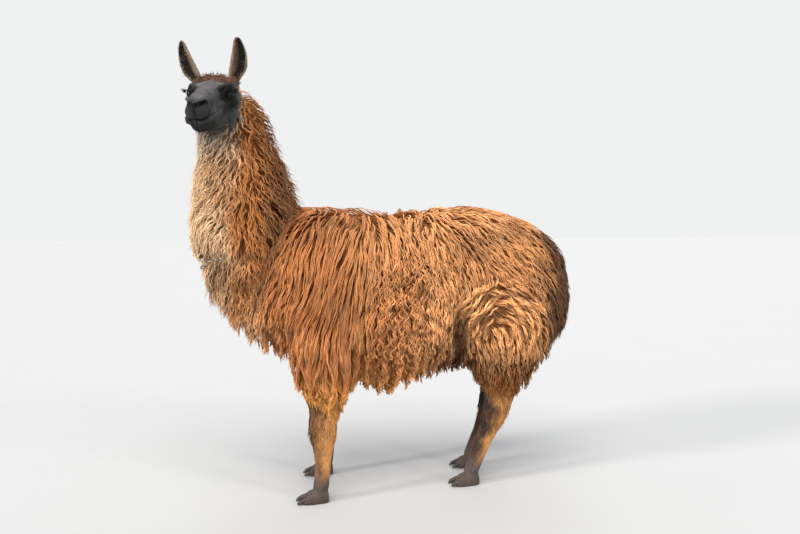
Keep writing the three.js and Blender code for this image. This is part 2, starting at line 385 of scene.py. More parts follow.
LEGS = [f"leg_{end}_{side}" for end in ("fore", "hind") for side in ("left", "right")]
LEG_NODES = {leg: [f"{leg}_{part}" for part in ("upper", "shank", "foot")] for leg in LEGS}
NAILS = {leg: [f"{leg.replace('leg', 'nail')}_{toe}" for toe in ("inner", "outer")] for leg in LEGS}
ALL_NAILS = [name for names in NAILS.values() for name in names]
BODY_NODES = ["trunk", "neck", "head", "tail"] + [n for leg in LEGS for n in LEG_NODES[leg]]
FLESH = BODY_NODES + ["ear_left", "ear_right"]
BODY_PITCH, LEG_PITCH, HEAD_PITCH = 7.5 * MM, 3.4 * MM, 2.2 * MM
WOOL = 38 * MM  # how deep the skin lies under the tips of the fleece
SHORT = 2.5 * MM  # the same for the short hair of the shanks and the face
LEG_CUT = 0.312  # height at which the finer lower legs are sewn on
# planes across the top and the root of the neck: place, and the way up it
NECK_CUT = (np.array([-0.592, 0.0, 1.405]), unit(np.array([0.0, -0.3, 0.954])))
NECK_ROOT = (np.array([-0.49, 0, 0.90]), unit(np.array([-0.90, 0, 0.44])))


def beyond(p, plane):
    """How far points lie beyond a plane."""
    place, normal = plane
    return (p - place) @ normal


def coat_depth(p):
    """How far the skin lies under the tips of the coat, away from the head."""
    x, _, z = xyz(p)
    depth = mix(SHORT, 18 * MM, step(0.28, 0.38, z))
    depth = mix(depth, WOOL, step(0.42, 0.60, z))
    depth = mix(depth, 24 * MM, step(0.69, 0.74, x) * step(0.45, 0.6, z))
    depth = mix(depth, 17 * MM, hump(z, 0.915, 0.06) * step(-0.40, -0.48, x))  # under the collar
    return mix(depth, 26 * MM, step(1.36, 1.50, z))


low, high = (np.array(CAD_BOX[0]) - 0.03, np.array(CAD_BOX[1]) + 0.03)
tips = closed_field(BODY_NODES, low, high, BODY_PITCH, 45 * MM, 75 * MM)  # the surface of the coat
flesh = Field(low, high, BODY_PITCH)  # the skin under it
flesh.values = tips.values + coat_depth(flesh.points())
flesh.blur(4)
tips.blur(2)

# lines on the head, in its own millimetres
LIPS = np.array([  # where they meet, from the left corner of the mouth round the muzzle
    (114, 55, -44), (138, 53, -49), (156, 46, -56), (167, 32, -64), (168, 15, -68), (171, 0, -66),
], float)
LIPS = np.concatenate([LIPS, LIPS[-2::-1] * (1, -1, 1)])
NOSTRIL = np.array([(184, 6, -15), (183, 13, -18), (177, 22, -13), (170, 31, -9), (163, 37, -8)], float)
FACE_REAR = np.array([(-145, -2), (-118, -12), (-92, -32), (-50, -62), (0, -92)])  # up, ahead
JAW = np.array([  # ahead, up
    (-120, -128), (-68, -137), (-24, -141), (30, -131), (82, -122), (122, -119),
], float)


def head_forms(field, q):
    """Works the features of the head into a field, in the head's millimetres."""

    def form(shape, place, reach, k, cut=False):
        """Joins or cuts a shape, worked out only as far as `reach` round its place."""
        spot = from_head(place)
        lo = np.clip(((spot - reach * MM) / field.voxel - field.low).astype(int), 0, field.size)
        hi = np.clip(((spot + reach * MM) / field.voxel - field.low).astype(int) + 2, 0, field.size)
        block = tuple(slice(a, b) for a, b in zip(lo, hi))
        distance = shape(q[block]) * MM
        work = carve if cut else join
        field.values[block] = work(field.values[block], distance, k * MM)

    def oval(place, radii, reach, k, cut=False):
        form(lambda p: ellipsoid(p, place, radii), place, reach, k, cut)

    for side in (-1, 1):
        def at(x, y, z):
            return np.array([x, side * y, z], float)

        def blob(place, radii, k, cut=False):
            oval(at(*place), radii, max(radii) + 3 * k, k, cut)

        def cord(points, radius, k, cut=False):
            line = [at(*point) for point in points]
            middle = np.mean(line, 0)
            reach = max(np.linalg.norm(point - middle) for point in line) + 3 * k + 8
            form(lambda p: rope(p, line, radius), middle, reach, k, cut)

        blob((84, 60, -26), (50, 18, 24), 18, cut=True)  # hollow beside the nose
        blob((104, 66, -50), (24, 18, 26), 14, cut=True)  # and behind the lip
        blob((143, 23, -42), (32, 22, 28), 6)  # pad of the upper lip
        blob((167, 16, -42), (15, 14, 23), 6)  # and its front
        blob((163, 19, -1), (15, 11, 8), 8)  # wing of the nostril
        cord([(52, 50, -30), (-8, 76, -34), (-66, 82, -22)], 12, 14)  # cheekbone
        blob((-40, 64, -86), (48, 20, 42), 14)  # cheek
        blob((50, 56, -92), (44, 12, 22), 24, cut=True)  # hollow under it
        blob((0, 61, 3), (34, 25, 30), 9)  # orbit
        cord([(34, 46, 26), (6, 62, 33), (-30, 70, 27)], 7, 10)  # brow
        blob((-84, 62, 32), (26, 22, 20), 12)  # root of the ear
        eye = at(2, EYE_OUT / MM, 0)
        form(lambda p: np.linalg.norm(p - eye, axis=-1) - 24.4, eye, 38, 5)  # lids
        look = unit(at(*LOOK))
        ahead = unit(np.cross(look, [0, 0, 1]))
        lid_axes = np.stack([look, ahead, np.cross(ahead, look)], 1)
        slit = eye + look * 23

        def almond(p):
            e = (p - slit) @ lid_axes
            arched = e[..., 2] + 0.008 * e[..., 1] ** 2 - 1.2
            e = np.stack([e[..., 0], e[..., 1], arched], -1)
            return ellipsoid(e, (0, 0, 0), (17, 24.5, 17.5))

        form(almond, slit, 30, 1.4, cut=True)
        crease = []
        for a in np.linspace(-1.2, 1.2, 9):
            ray = np.array([math.cos(a) * 0.62, math.sin(a) * 0.8, 0.62 - 0.25 * a * a])
            crease.append(eye + lid_axes @ (27.5 * ray))
        form(lambda p: rope(p, crease, 1.0), eye, 36, 4, cut=True)  # fold over the upper lid
        cord([(112, 50, -60), (138, 45, -66), (156, 36, -75), (162, 16, -82)], 8, 6)  # lower lip
        cord(NOSTRIL, [5.5, 10.0, 8.5, 4.5, 2.0], 2.5, cut=True)
        cord([(172, 10, 0), (164, 28, 4), (150, 38, 2)], 3, 5)  # its upper rim
    oval((138, 0, -56), (24, 36, 15), 60, 8)  # edge of the upper lip
    oval((122, 0, -140), (60, 50, 25), 80, 8, cut=True)  # under the chin
    oval((146, 0, -90), (22, 29, 15), 50, 7)  # lower lip
    oval((122, 0, -100), (36, 30, 14), 56, 9)  # chin
    cleft = [(184, 0, -24), (183, 0, -42), (173, 0, -72)]
    form(lambda p: rope(p, cleft, [2.0, 5.0, 6.0]), (182, 0, -46), 60, 4, cut=True)  # split of the upper lip
    form(lambda p: rope(p, LIPS, 4.0), (138, 0, -60), 86, 2, cut=True)  # mouth
    for which, (side, _) in EARS.items():
        turn, place = ear_frame(which)
        form(lambda p: ear_field(p, which), place + turn @ np.array([0, 0, 78.0]), 108, 5)


def head_field():
    """Distance to the finely worked skin of the head, down to below the cut across the neck."""
    low, high = box_round(("head", "ear_left", "ear_right"), 0.014, 0.008)
    high[:2] = -0.46, 0.14
    low[2] = NECK_CUT[0][2] - 0.05
    field = closed_field(["head", "eye_left", "eye_right"], low, high, HEAD_PITCH, 30 * MM, 60 * MM)
    field.blur(12)
    p = field.points()
    q = to_head(p)
    crown = np.exp(-(((q[..., 0] + 66) / 46) ** 2 + (q[..., 1] / 60) ** 2)) * step(20, 50, q[..., 2])
    field.values += (mix(24.0, 2.0, step(-118, -60, q[..., 0])) + 9 * crown) * MM  # under the longer hair
    head_forms(field, q)
    rise = beyond(p, NECK_CUT)  # above the cut, where the neck gives way to the face
    body = np.maximum(flesh.at(p), (q[..., 0] + 58) * MM - 0.2 * (1 - step(0.0, 0.08, rise)))
    field.values += 0.05 * (1 - step(0.0, 0.035, rise))
    field.values = join(field.values, body, 14 * MM)
    return field


def leg_field(leg):
    """Distance to the skin of a lower leg and its foot."""
    low, high = box_round(LEG_NODES[leg][1:], 0.012, 0.012)
    low[2], high[2] = -0.006, LEG_CUT + 0.012
    field = closed_field(LEG_NODES[leg] + NAILS[leg], low, high, LEG_PITCH, 20 * MM, 45 * MM)
    p = field.points()
    field.values += coat_depth(p) * step(0.0, 0.02, p[..., 2])
    field.blur(3)
    field.values = mix(field.values, flesh.at(p), step(0.262, 0.305, p[..., 2]))
    field.values = np.maximum(field.values, -p[..., 2])
    return field


def to_bmesh(points, triangles, quads):
    """A mesh for cutting and sewing."""
    mesh = bpy.data.meshes.new("part")
    faces = [tuple(f) for f in triangles.tolist()] + [tuple(f) for f in quads.tolist()]
    mesh.from_pydata(points.tolist(), [], faces)
    bm = bmesh.new()
    bm.from_mesh(mesh)
    bpy.data.meshes.remove(mesh)
    return bm


def cut_off(bm, place, normal):
    """Cuts away what lies on the side of a plane that the normal points to."""
    bmesh.ops.bisect_plane(
        bm, geom=bm.verts[:] + bm.edges[:] + bm.faces[:], plane_co=Vector(place),
        plane_no=Vector(normal), clear_outer=True,
    )


def rims(bm):
    """The open edges of a mesh, as lists of vertices in order round each opening."""
    links = {}
    for edge in bm.edges:
        if edge.is_boundary:
            a, b = edge.verts
            links.setdefault(a, []).append(b)
            links.setdefault(b, []).append(a)
    loops, seen = [], set()
    for start in links:
        if start in seen:
            continue
        loop, last, here = [start], None, start
        seen.add(start)
        while True:
            ways = [v for v in links[here] if v is not last and v not in seen]
            if not ways:
                break
            last, here = here, ways[0]
            seen.add(here)
            loop.append(here)
        loops.append(loop)
    return [loop for loop in loops if len(loop) > 12]


def middle_of(loop):
    """Mean place of the vertices of a rim."""
    return sum((v.co for v in loop), Vector()) / len(loop)


def sew(bm, one, two):
    """Closes the strip between two rims that face each other."""
    middle = middle_of(one)
    turns = ((a.co - middle).cross(b.co - middle) for a, b in zip(one, one[1:]))
    axis = sum(turns, Vector()).normalized()
    across = axis.orthogonal().normalized()
    beside = axis.cross(across)

    def turn(v):
        d = v.co - middle
        return math.atan2(d.dot(beside), d.dot(across))

    def ordered(loop):
        """A rim from its lowest angle once round, back to the same vertex, with the angles."""
        angles = np.array([turn(v) for v in loop])
        steps = (np.diff(np.append(angles, angles[0])) + math.pi) % (2 * math.pi) - math.pi
        if steps.sum() < 0:
            loop, angles = loop[::-1], angles[::-1]
        start = int(angles.argmin())
        loop = loop[start:] + loop[:start + 1]
        return loop, np.unwrap([turn(v) for v in loop])

    (one, s), (two, t) = ordered(one), ordered(two)
    i = j = 0
    while i < len(one) - 1 or j < len(two) - 1:
        step_one = j == len(two) - 1 or (i < len(one) - 1 and s[i + 1] <= t[j + 1])
        corner = (one[i], one[i + 1], two[j]) if step_one else (one[i], two[j + 1], two[j])
        bm.faces.new(corner)
        i, j = (i + 1, j) if step_one else (i, j + 1)


def drop_crumbs(bm):
    """Deletes what isn't joined to the largest piece of a mesh."""
    seen, islands = set(), []
    for start in bm.verts:
        if start in seen:
            continue
        seen.add(start)
        island = [start]
        for v in island:  # the list grows while it is read
            others = {link.other_vert(v) for link in v.link_edges} - seen
            seen |= others
            island += others
        islands.append(island)
    islands.sort(key=len)
    for island in islands[:-1]:
        bmesh.ops.delete(bm, geom=island, context="VERTS")


def build_skin():
    """One closed mesh: the body, with a finer head and finer lower legs sewn on."""
    strip = 4 * MM  # left open at each cut, for the sewing
    whole = to_bmesh(*flesh.surface())
    place, normal = NECK_CUT
    cut_off(whole, place - strip * normal, normal)
    cut_off(whole, (0, 0, LEG_CUT + strip), (0, 0, -1))
    pieces = []
    head = to_bmesh(*head_field().surface())
    cut_off(head, place, -normal)
    pieces.append(head)
    for leg in LEGS:
        part = to_bmesh(*leg_field(leg).surface())
        cut_off(part, (0, 0, LEG_CUT), (0, 0, 1))
        pieces.append(part)
    for part in pieces:
        mesh = bpy.data.meshes.new("part")
        part.to_mesh(mesh)
        whole.from_mesh(mesh)
        bpy.data.meshes.remove(mesh)
        part.free()
    loops = rims(whole)
    while loops:
        one = loops.pop()
        gaps = [(middle_of(other) - middle_of(one)).length for other in loops]
        two = loops.pop(int(np.argmin(gaps)))
        sew(whole, one, two)
    drop_crumbs(whole)
    bmesh.ops.triangulate(whole, faces=whole.faces[:])
    bmesh.ops.recalc_face_normals(whole, faces=whole.faces[:])
    mesh = bpy.data.meshes.new("skin")
    whole.to_mesh(mesh)
    whole.free()
    return mesh


# ------------------------------------------------------------------ the skin's unwrap

CHARTS = {  # low corner and size of each part's place on the unwrap
    "trunk": (0.0, 0.0, 0.66, 0.62), "neck": (0.68, 0.0, 0.32, 0.62), "head": (0.0, 0.64, 0.42, 0.36),
    "ears": (0.86, 0.64, 0.13, 0.35), "legs": (0.44, 0.64, 0.10, 0.36),
}


def place_on(chart, u, v, shift=0.0):
    """Shares u and v of a chart as a place on the unwrap."""
    x, y, w, h = CHARTS[chart]
    across = x + shift + np.clip(u, -0.02, 1.02) * w * 0.96
    return np.stack([across, y + np.clip(v, 0, 1) * h * 0.97], -1)


def wrapped(angle):
    """Angles of a face's corners as shares of a turn, with no face torn at the seam."""
    share = angle / (2 * math.pi) + 0.5
    return share - np.round(share - share[:, :1])


def unwrap(corners, normals):
    """The place of each corner of each face on the unwrap of the body's own shape."""
    middle = corners.mean(1)
    x, y, z = xyz(corners)
    uv = place_on("trunk", wrapped(np.arctan2(y, z - 0.80)), (x + 0.68) / 1.48)
    neck = beyond(middle, NECK_ROOT) > 0
    turned = place_on("neck", wrapped(np.arctan2(y, -(x + 0.57))), (z - 0.58) / 0.86)
    uv[neck] = turned[neck]
    for i, leg in enumerate(LEGS):
        shank, foot = (np.array(centre(n)) for n in LEG_NODES[leg][1:])
        t = np.clip((z - foot[2]) / (shank[2] - foot[2]), 0, 2.2)
        axis_x = mix(foot[0] + 0.02, shank[0], t)
        axis_y = mix(foot[1], shank[1], np.clip(t, 0, 1))
        mine = (middle[:, 2] < 0.44) & (np.sign(middle[:, 1]) == np.sign(shank[1]))
        mine &= (middle[:, 0] > 0.03) == ("hind" in leg)
        turned = place_on("legs", wrapped(np.arctan2(y - axis_y, -(x - axis_x))), z / 0.45, 0.105 * i)
        uv[mine] = turned[mine]
    q = to_head(corners)
    above = beyond(middle, NECK_CUT) > 0
    turned = place_on("head", wrapped(np.arctan2(q[..., 1], q[..., 2] + 34)), (q[..., 0] + 150) / 345)
    uv[above] = turned[above]
    for i, which in enumerate(EARS):
        e, share = ear_share(q, which)
        reach = np.linalg.norm(e[..., :2].mean(1), axis=-1)
        mine = (share.mean(1) > 0.06) & (share.mean(1) < 1.05) & (reach < 50)
        back = (normals @ HEAD_M @ ear_frame(which)[0])[:, 0] < 0
        flat = place_on("ears", 0.25 + 0.5 * i + e[..., 1] / 150, share * 0.48)
        flat[back, :, 1] += 0.5 * CHARTS["ears"][3]
        uv[mine] = flat[mine]
    return uv


# ------------------------------------------------------------------ the parts of the coat

# place along the body, and height at which the wool of the legs ends there
FORE_HEM = np.array([
    (-0.50, 0.44), (-0.36, 0.425), (-0.30, 0.395), (-0.24, 0.338), (-0.20, 0.365), (-0.15, 0.41),
])
HIND_HEM = np.array([(0.34, 0.43), (0.42, 0.40), (0.52, 0.365), (0.56, 0.39)])


def hem_height(p):
    """Height at which the wool of the legs ends."""
    fore = np.interp(p[..., 0], FORE_HEM[:, 0], FORE_HEM[:, 1])
    hind = np.interp(p[..., 0], HIND_HEM[:, 0], HIND_HEM[:, 1])
    return np.where(p[..., 0] < 0.1, fore, hind)


def ripple(p, size, seed=0):
    """A smooth wavering, mostly between -1 and 1, with waves about size across."""
    waves = 6
    k = np.random.default_rng(seed).normal(size=(waves, 3))
    pitch = np.linspace(0.6, 1.5, waves)[:, None]
    k = k / np.linalg.norm(k, axis=1, keepdims=True) * (2 * math.pi / size) * pitch
    phase = np.random.default_rng(seed + 99).uniform(0, 6.3, waves)
    return np.sin(p @ k.T + phase).mean(-1) * 1.7


COLLAR_AXIS = np.array([-0.5377, 0.0014])
COLLAR_REACH = np.array([0.191, 0.178])
COLLAR_LOW = 0.915


def collar_turn(p):
    """Bearing of points round the collar: 0 in front, pi at the nape."""
    ahead, left = ((p[..., i] - COLLAR_AXIS[i]) / COLLAR_REACH[i] for i in (0, 1))
    return np.arctan2(left, -ahead)


def collar_line(turn):
    """Points of the collar's middle line. It arches at the shoulders and sinks into the wool at the sides."""
    sunk = step(0.46, 0.16, np.cos(turn))
    reach = 1 - 0.10 * sunk
    arch = np.minimum(((np.arccos(np.cos(turn) * 0.9999) - 0.785) / 0.38) ** 2, 1.3)
    height = COLLAR_LOW + 0.062 * np.sin(turn / 2) ** 2 + 0.012 * np.sin(2 * turn) ** 2
    return np.stack([
        COLLAR_AXIS[0] - COLLAR_REACH[0] * reach * np.cos(turn),
        COLLAR_AXIS[1] + COLLAR_REACH[1] * reach * np.sin(turn),
        height - 0.014 * arch - 0.012 * sunk,
    ], -1)


THIGH = np.array([0.395, 0.0, 0.607])  # the waves of the thigh arch over this place


def thigh_share(p):
    """Share of the thigh and haunch on both sides."""
    x, y, z = xyz(p)
    share = step(0.04, 0.16, x) * step(0.98, 0.88, z) * step(0.72, 0.62, x)
    return share * (np.abs(y) > 0.05) * step(0.36, 0.44, z)


def shaded_fold(p):
    """Share of the fold between the belly and the thigh, which the fleece sinks into and painted shade
    darkens.
    """
    x, y, z = xyz(p)
    fold = np.exp(-(((x - 0.240 + 0.12 * (z - 0.66)) / 0.028) ** 2))
    return fold * step(0.80, 0.70, z) * step(0.44, 0.50, z) * (np.abs(y) > 0.05)


def behind_face(q):
    """Millimetres ahead of where the hair of the face ends."""
    return q[..., 0] - np.interp(q[..., 2], FACE_REAR[:, 0], FACE_REAR[:, 1])


def regions(p):
    """The points in the head's frame, and shares of the face, the neck, the tail and the bare lower legs."""
    q = to_head(p)
    x, y, z = xyz(p)
    above = beyond(p, NECK_CUT) > -0.02
    jaw = np.interp(q[..., 0], JAW[:, 0], JAW[:, 1])
    face = step(-10, 10, behind_face(q) + 8 * ripple(q, 24, 9)) * above
    face *= np.maximum(step(-8, 8, q[..., 2] - jaw), step(50, 80, q[..., 0]) * step(-146, -132, q[..., 2]))
    face *= np.maximum(step(104, 90, np.abs(q[..., 1])), step(-30, 0, q[..., 2]))
    neck = step(-0.03, 0.06, beyond(p, NECK_ROOT))
    tail = step(0.64, 0.70, x) * step(0.13, 0.07, np.abs(y)) * step(0.5, 0.6, z)
    shank = step(-0.01, -0.03, z - hem_height(p))
    return q, face, neck, tail, shank


# ------------------------------------------------------------------ colours


def paint(*rgb):
    """A colour written as 0 to 255 in sRGB, as linear light."""
    c = np.array(rgb, float) / 255
    return np.where(c < 0.04045, c / 12.92, ((c + 0.055) / 1.055) ** 2.4)


RUST, TAN, GOLD = paint(210, 131, 73), paint(240, 173, 112), paint(240, 168, 84)
CREAM, SAND, AMBER = paint(255, 222, 180), paint(216, 150, 88), paint(202, 128, 64)
OCHRE, UMBER, BARK, DARK = paint(160, 98, 44), paint(128, 72, 38), paint(78, 58, 46), paint(88, 45, 24)
SOOT, GREY, ASH = paint(20, 20, 19), paint(74, 76, 74), paint(94, 89, 92)
PALE, LILAC, MAROON = paint(180, 172, 160), paint(86, 74, 70), paint(112, 76, 58)
PALE_SPOTS = (  # on the sides of the muzzle: place, size, share
    ((96, 56, -44), 22, 0.7), ((136, 52, -42), 10, 0.9), ((60, 60, -60), 18, 0.5),
)


def over(colour, other, share):
    """A colour with another painted over it."""
    return mix(colour, other, np.clip(share, 0, 1)[..., None])


def wool_colour(p, q, neck, tail):
    """The fleece: rust, tan on the back and the thigh, gold below, cream down the front of the neck, with
    painted shade in the fold by the thigh, under the collar and on the back of the neck.
    """
    x, _, z = xyz(p)
    c = np.broadcast_to(RUST, p.shape).copy()
    c = over(c, TAN, 0.6 * step(-0.30, 0.15, x + 0.12 * ripple(p, 0.3, 1)))
    thigh = 0.9 * thigh_share(p) * step(0.96, 0.82, z) * step(0.46, 0.56, z)
    c = over(c, 1.1 * TAN, thigh * step(0.62, 0.54, x))
    c = over(c, TAN, 0.6 * step(0.95, 1.1, z) * step(-0.3, 0.2, x))
    c = over(c, UMBER, 0.8 * step(0.10, 0.18, x) * step(0.62, 0.55, z))
    c = over(c, UMBER, 0.42 * step(0.1, 0.9, ripple(p, 0.14, 2)) * (1 - neck))
    # painted shade in the fold between the belly and the thigh
    c = over(c, DARK, 0.9 * shaded_fold(p))
    c = over(c, GOLD, 0.8 * step(0.58, 0.44, z) * step(-0.62, -0.3, x) * step(0.3, -0.1, x))
    c = over(c, OCHRE, 0.8 * step(0.52, 0.44, z) * step(0.1, 0.2, x))
    c = over(c, mix(GOLD, CREAM, 0.45), 0.85 * step(-0.44, -0.58, x) * step(1.0, 0.84, z))
    rump = 0.95 * step(0.52, 0.62, x + 0.04 * ripple(p, 0.09, 6))
    c = over(c, DARK, rump * step(0.5, 0.6, z) * step(1.10, 1.02, z))
    c = over(c, AMBER, neck)
    front = step(-0.55, -0.73, x - 0.03 * ripple(p, 0.12, 3))
    c = over(c, CREAM, neck * front)
    c = over(c, UMBER, neck * 0.45 * step(0.1, 0.8, ripple(p, 0.08, 7)) * (1 - front))
    # painted shade on the back of the neck, the side turned from the light
    c = over(c, 0.8 * UMBER, neck * 0.85 * step(-0.56, -0.49, x))
    c = over(c, PALE, 0.7 * step(1.33, 1.43, z) * neck * step(-0.60, -0.67, x))
    c = over(c, PALE, 0.55 * step(-26, -8, behind_face(q)) * step(30, 10, q[..., 2]) * step(1.36, 1.40, z))
    above = z - collar_line(collar_turn(p))[..., 2]
    # painted shade on the wool just under the collar
    collar_shade = step(-0.07, -0.05, above) * step(0.005, -0.012, above)
    c = over(c, UMBER, 0.6 * collar_shade * neck)
    return over(c, DARK, tail)


def face_colour(q):
    """The face: grey, paler with painted highlight on the bridge of the nose and the forehead, sooty round
    the eyes and on the muzzle.
    """
    c = np.broadcast_to(GREY, q.shape).copy()
    ahead, side, up = q[..., 0], np.abs(q[..., 1]), q[..., 2]
    folded = np.stack([ahead, side, up], -1)
    # painted highlight along the bridge of the nose and over the forehead, as lit from above
    c = over(c, ASH, step(-20, 40, ahead) * step(-22, 6, up) * step(50, 24, side) * step(180, 158, ahead))
    c = over(c, ASH, 0.9 * step(-5, 26, up) * step(50, 0, ahead) * step(50, 20, side))
    c = over(c, ASH, 0.55 * step(24, -60, ahead) * step(-36, -70, up))
    tear = 0.5 * step(46, 56, side) * step(70, 20, ahead) * step(-40, -20, ahead)
    c = over(c, SOOT, tear * step(-74, -50, up) * step(-14, -34, up))
    eye = np.exp(-(((ahead - 10) / 42) ** 2 + ((up + 8) / 38) ** 2)) * step(26, 46, side)
    c = over(c, SOOT, np.clip(eye * 2.2 - 0.15, 0, 1))
    lid = np.exp(-(((ahead - 6) / 34) ** 2 + ((up - 22) / 11) ** 2)) * step(30, 46, side)
    c = over(c, 0.5 * SOOT, np.clip(1.6 * lid, 0, 1))
    c = over(c, SOOT, 0.52 * (step(84, 136, ahead + 0.25 * side) * step(6, -14, up)))  # muzzle
    nose = np.exp(-(((ahead - 182) / 26) ** 2 + ((up + 20) / 15) ** 2 + (side / 30) ** 2))
    c = over(c, SOOT, 0.35 * np.clip(nose * 1.2, 0, 1))
    # painted shade inside the nostril holes
    c = over(c, 0.4 * SOOT, step(11, 7, rope(folded, NOSTRIL, 0.0)))
    # painted shade in the split of the upper lip
    c = over(c, SOOT, 0.8 * step(6, 2, side) * step(140, 160, ahead) * step(-16, -30, up))  # split of the lip
    for place, size, share in PALE_SPOTS:
        c = over(c, 1.3 * ASH, share * np.exp(-(np.linalg.norm(folded - place, axis=-1) / size) ** 2))
    # painted highlight along the edge of the lower lip
    c = over(c, ASH, 0.16 * step(120, 150, ahead) * step(-46, -60, up) * step(-72, -64, up))  # lower lip
    c = over(c, SOOT, 0.55 * step(50, 96, ahead) * step(-76, -86, up))  # chin
    # painted shade along the line where the lips meet
    c = over(c, 0.4 * SOOT, step(6, 2.5, rope(q, LIPS, 1.0)))
    c = over(c, PALE, 0.35 * hump(up, 34, 9) * step(40, 0, ahead) * step(60, 40, side))  # brow
    crown = step(28, 46, up + 9 * ripple(q, 24, 5)) * step(-10, -38, ahead + 8 * ripple(q, 20, 8))
    c = over(c, MAROON, 0.9 * crown)
    c = over(c, PALE, 0.8 * step(22, 2, behind_face(q)) * step(34, 10, up))
    return c * mix(0.62, 0.92, step(-0.9, 0.9, ripple(q, 42, 11)))[..., None]


def markings(p, n):
    """The colour of the coat and of the skin under it at points p with normals n."""
    x, _, z = xyz(p)
    q, face, neck, tail, shank = regions(p)
    c = wool_colour(p, q, neck, tail)
    # lower legs: dark in front, sandy behind
    stripe = step(-0.5, 0.7, -n[..., 0] + 0.25 * ripple(p, 0.09, 4) + 0.2 * ripple(p, 0.021, 5))
    c = over(c, 0.9 * SAND, shank)
    c = over(c, BARK, shank * stripe * mix(0.75, 1.0, step(0.0, 0.2, x)))
    c = over(c, SOOT, 0.6 * shank * stripe * step(-0.3, 0.5, ripple(p, 0.11, 14)))
    c = over(c, LILAC, step(0.15, 0.06, z))
    c = over(c, face_colour(q), face)
    for which, (side, _) in EARS.items():
        e, share = ear_share(q, which)
        bow, wide, _ = ear_section(np.clip(share, 0, 1), side)
        rim = step(0.62, 0.95, np.abs(e[..., 1] - bow) / wide)
        inside = (n @ HEAD_M @ ear_frame(which)[0])[..., 0] > 0.1
        inner = step(0.15, -0.45, (e[..., 1] - bow) / wide * side)
        ear = over(np.broadcast_to(GREY * 0.5, p.shape), 0.8 * SOOT, 0.9 * inside)
        ear = over(ear, mix(ASH, TAN, 0.4), 0.4 * inside * inner)
        ear = over(ear, PALE, rim * 0.55)
        c = over(c, ear, step(0.0, 0.12, share) * near_ear(e))
    return c


# ------------------------------------------------------------------ making meshes

BUDGET = 185000  # triangles in one coat piece
NO_TRIANGLES = np.empty((0, 3), int)


def make_object(name, points, tris, quads, material):
    """An object with a mesh of the given points, triangles and quads."""
    mesh = bpy.data.meshes.new(name)
    mesh.vertices.add(len(points))
    mesh.vertices.foreach_set("co", np.ascontiguousarray(points, np.float32).ravel())
    loops = np.concatenate([np.ravel(quads), np.ravel(tris)]).astype(np.int32)
    mesh.loops.add(len(loops))
    mesh.loops.foreach_set("vertex_index", loops)
    totals = np.concatenate([np.full(len(quads), 4), np.full(len(tris), 3)]).astype(np.int32)
    mesh.polygons.add(len(totals))
    starts = np.concatenate([[0], np.cumsum(totals)[:-1]]).astype(np.int32)
    mesh.polygons.foreach_set("loop_start", starts)
    mesh.update(calc_edges=True)
    return finish_object(name, mesh, material)


def finish_object(name, mesh, material):
    """A smooth-shaded object in the scene, with the mesh and its material."""
    mesh.polygons.foreach_set("use_smooth", np.ones(len(mesh.polygons), bool))
    mesh.materials.append(material)
    obj = bpy.data.objects.new(name, mesh)
    bpy.context.scene.collection.objects.link(obj)
    return obj


def set_uv(mesh, corners):
    """Gives each corner of each face its place on the unwrap."""
    layer = mesh.uv_layers.new(name="OFBake")
    layer.data.foreach_set("uv", np.ascontiguousarray(corners, np.float32).ravel())


ATTRIBUTE_KINDS = {1: ("FLOAT", "value"), 3: ("FLOAT_VECTOR", "vector"), 4: ("FLOAT_COLOR", "color")}


def set_values(mesh, name, values):
    """Gives each vertex a number, vector or colour, which the material reads by its name."""
    values = np.ascontiguousarray(values, np.float32).reshape(len(mesh.vertices), -1)
    kind, field = ATTRIBUTE_KINDS[values.shape[1]]
    mesh.attributes.new(name, kind, "POINT").data.foreach_set(field, values.ravel())


def set_mark(mesh, colours):
    """Gives each vertex its own colour."""
    set_values(mesh, "mark", np.concatenate([colours, np.ones((len(colours), 1))], 1))


def vertices_of(mesh):
    """Points and normals of a mesh's vertices."""
    return gathered(mesh.vertices, "co").astype(float), gathered(mesh.vertex_normals, "vector").astype(float)


# ------------------------------------------------------------------ locks of hair


class Skin:
    """The skin's faces, and ways to choose places on it."""

    def __init__(self, mesh):
        points, _ = vertices_of(mesh)
        self.corners = points[corner_vertices(mesh).reshape(-1, 3)]
        a, b, c = self.corners[:, 0], self.corners[:, 1], self.corners[:, 2]
        cross = np.cross(b - a, c - a)
        self.area = np.linalg.norm(cross, axis=1) / 2
        self.normals = unit(cross)
        self.middle = self.corners.mean(1)
        self.uv = unwrap(self.corners, self.normals)

    def roots(self, spacing, share):
        """Places no closer than `spacing`, with normals and unwrap, chosen by share(points)."""
        want = self.area * share(self.middle)
        count = int(want.sum() / spacing**2 * 6)
        face = rng.choice(len(want), count, p=want / want.sum())
        a, b = rng.random((2, count))
        a, b = np.where(a + b > 1, 1 - a, a), np.where(a + b > 1, 1 - b, b)
        weight = np.stack([1 - a - b, a, b], 1)
        points = (self.corners[face] * weight[..., None]).sum(1)
        tree = tree_of(points)
        free, kept = np.ones(count, bool), []
        for i in range(count):
            if free[i]:
                kept.append(i)
                for _, other, _ in tree.find_range(points[i], spacing):
                    free[other] = False
        kept = np.array(kept)
        uv = (self.uv[face[kept]] * weight[kept][..., None]).sum(1)
        return points[kept], self.normals[face[kept]], uv


def across_and_out(path, out):
    """Unit vectors across and out of each path, from rough outward directions."""
    along = unit(np.gradient(path, axis=1))
    out = unit(out - along * dot(out, along))
    return np.cross(along, out), out


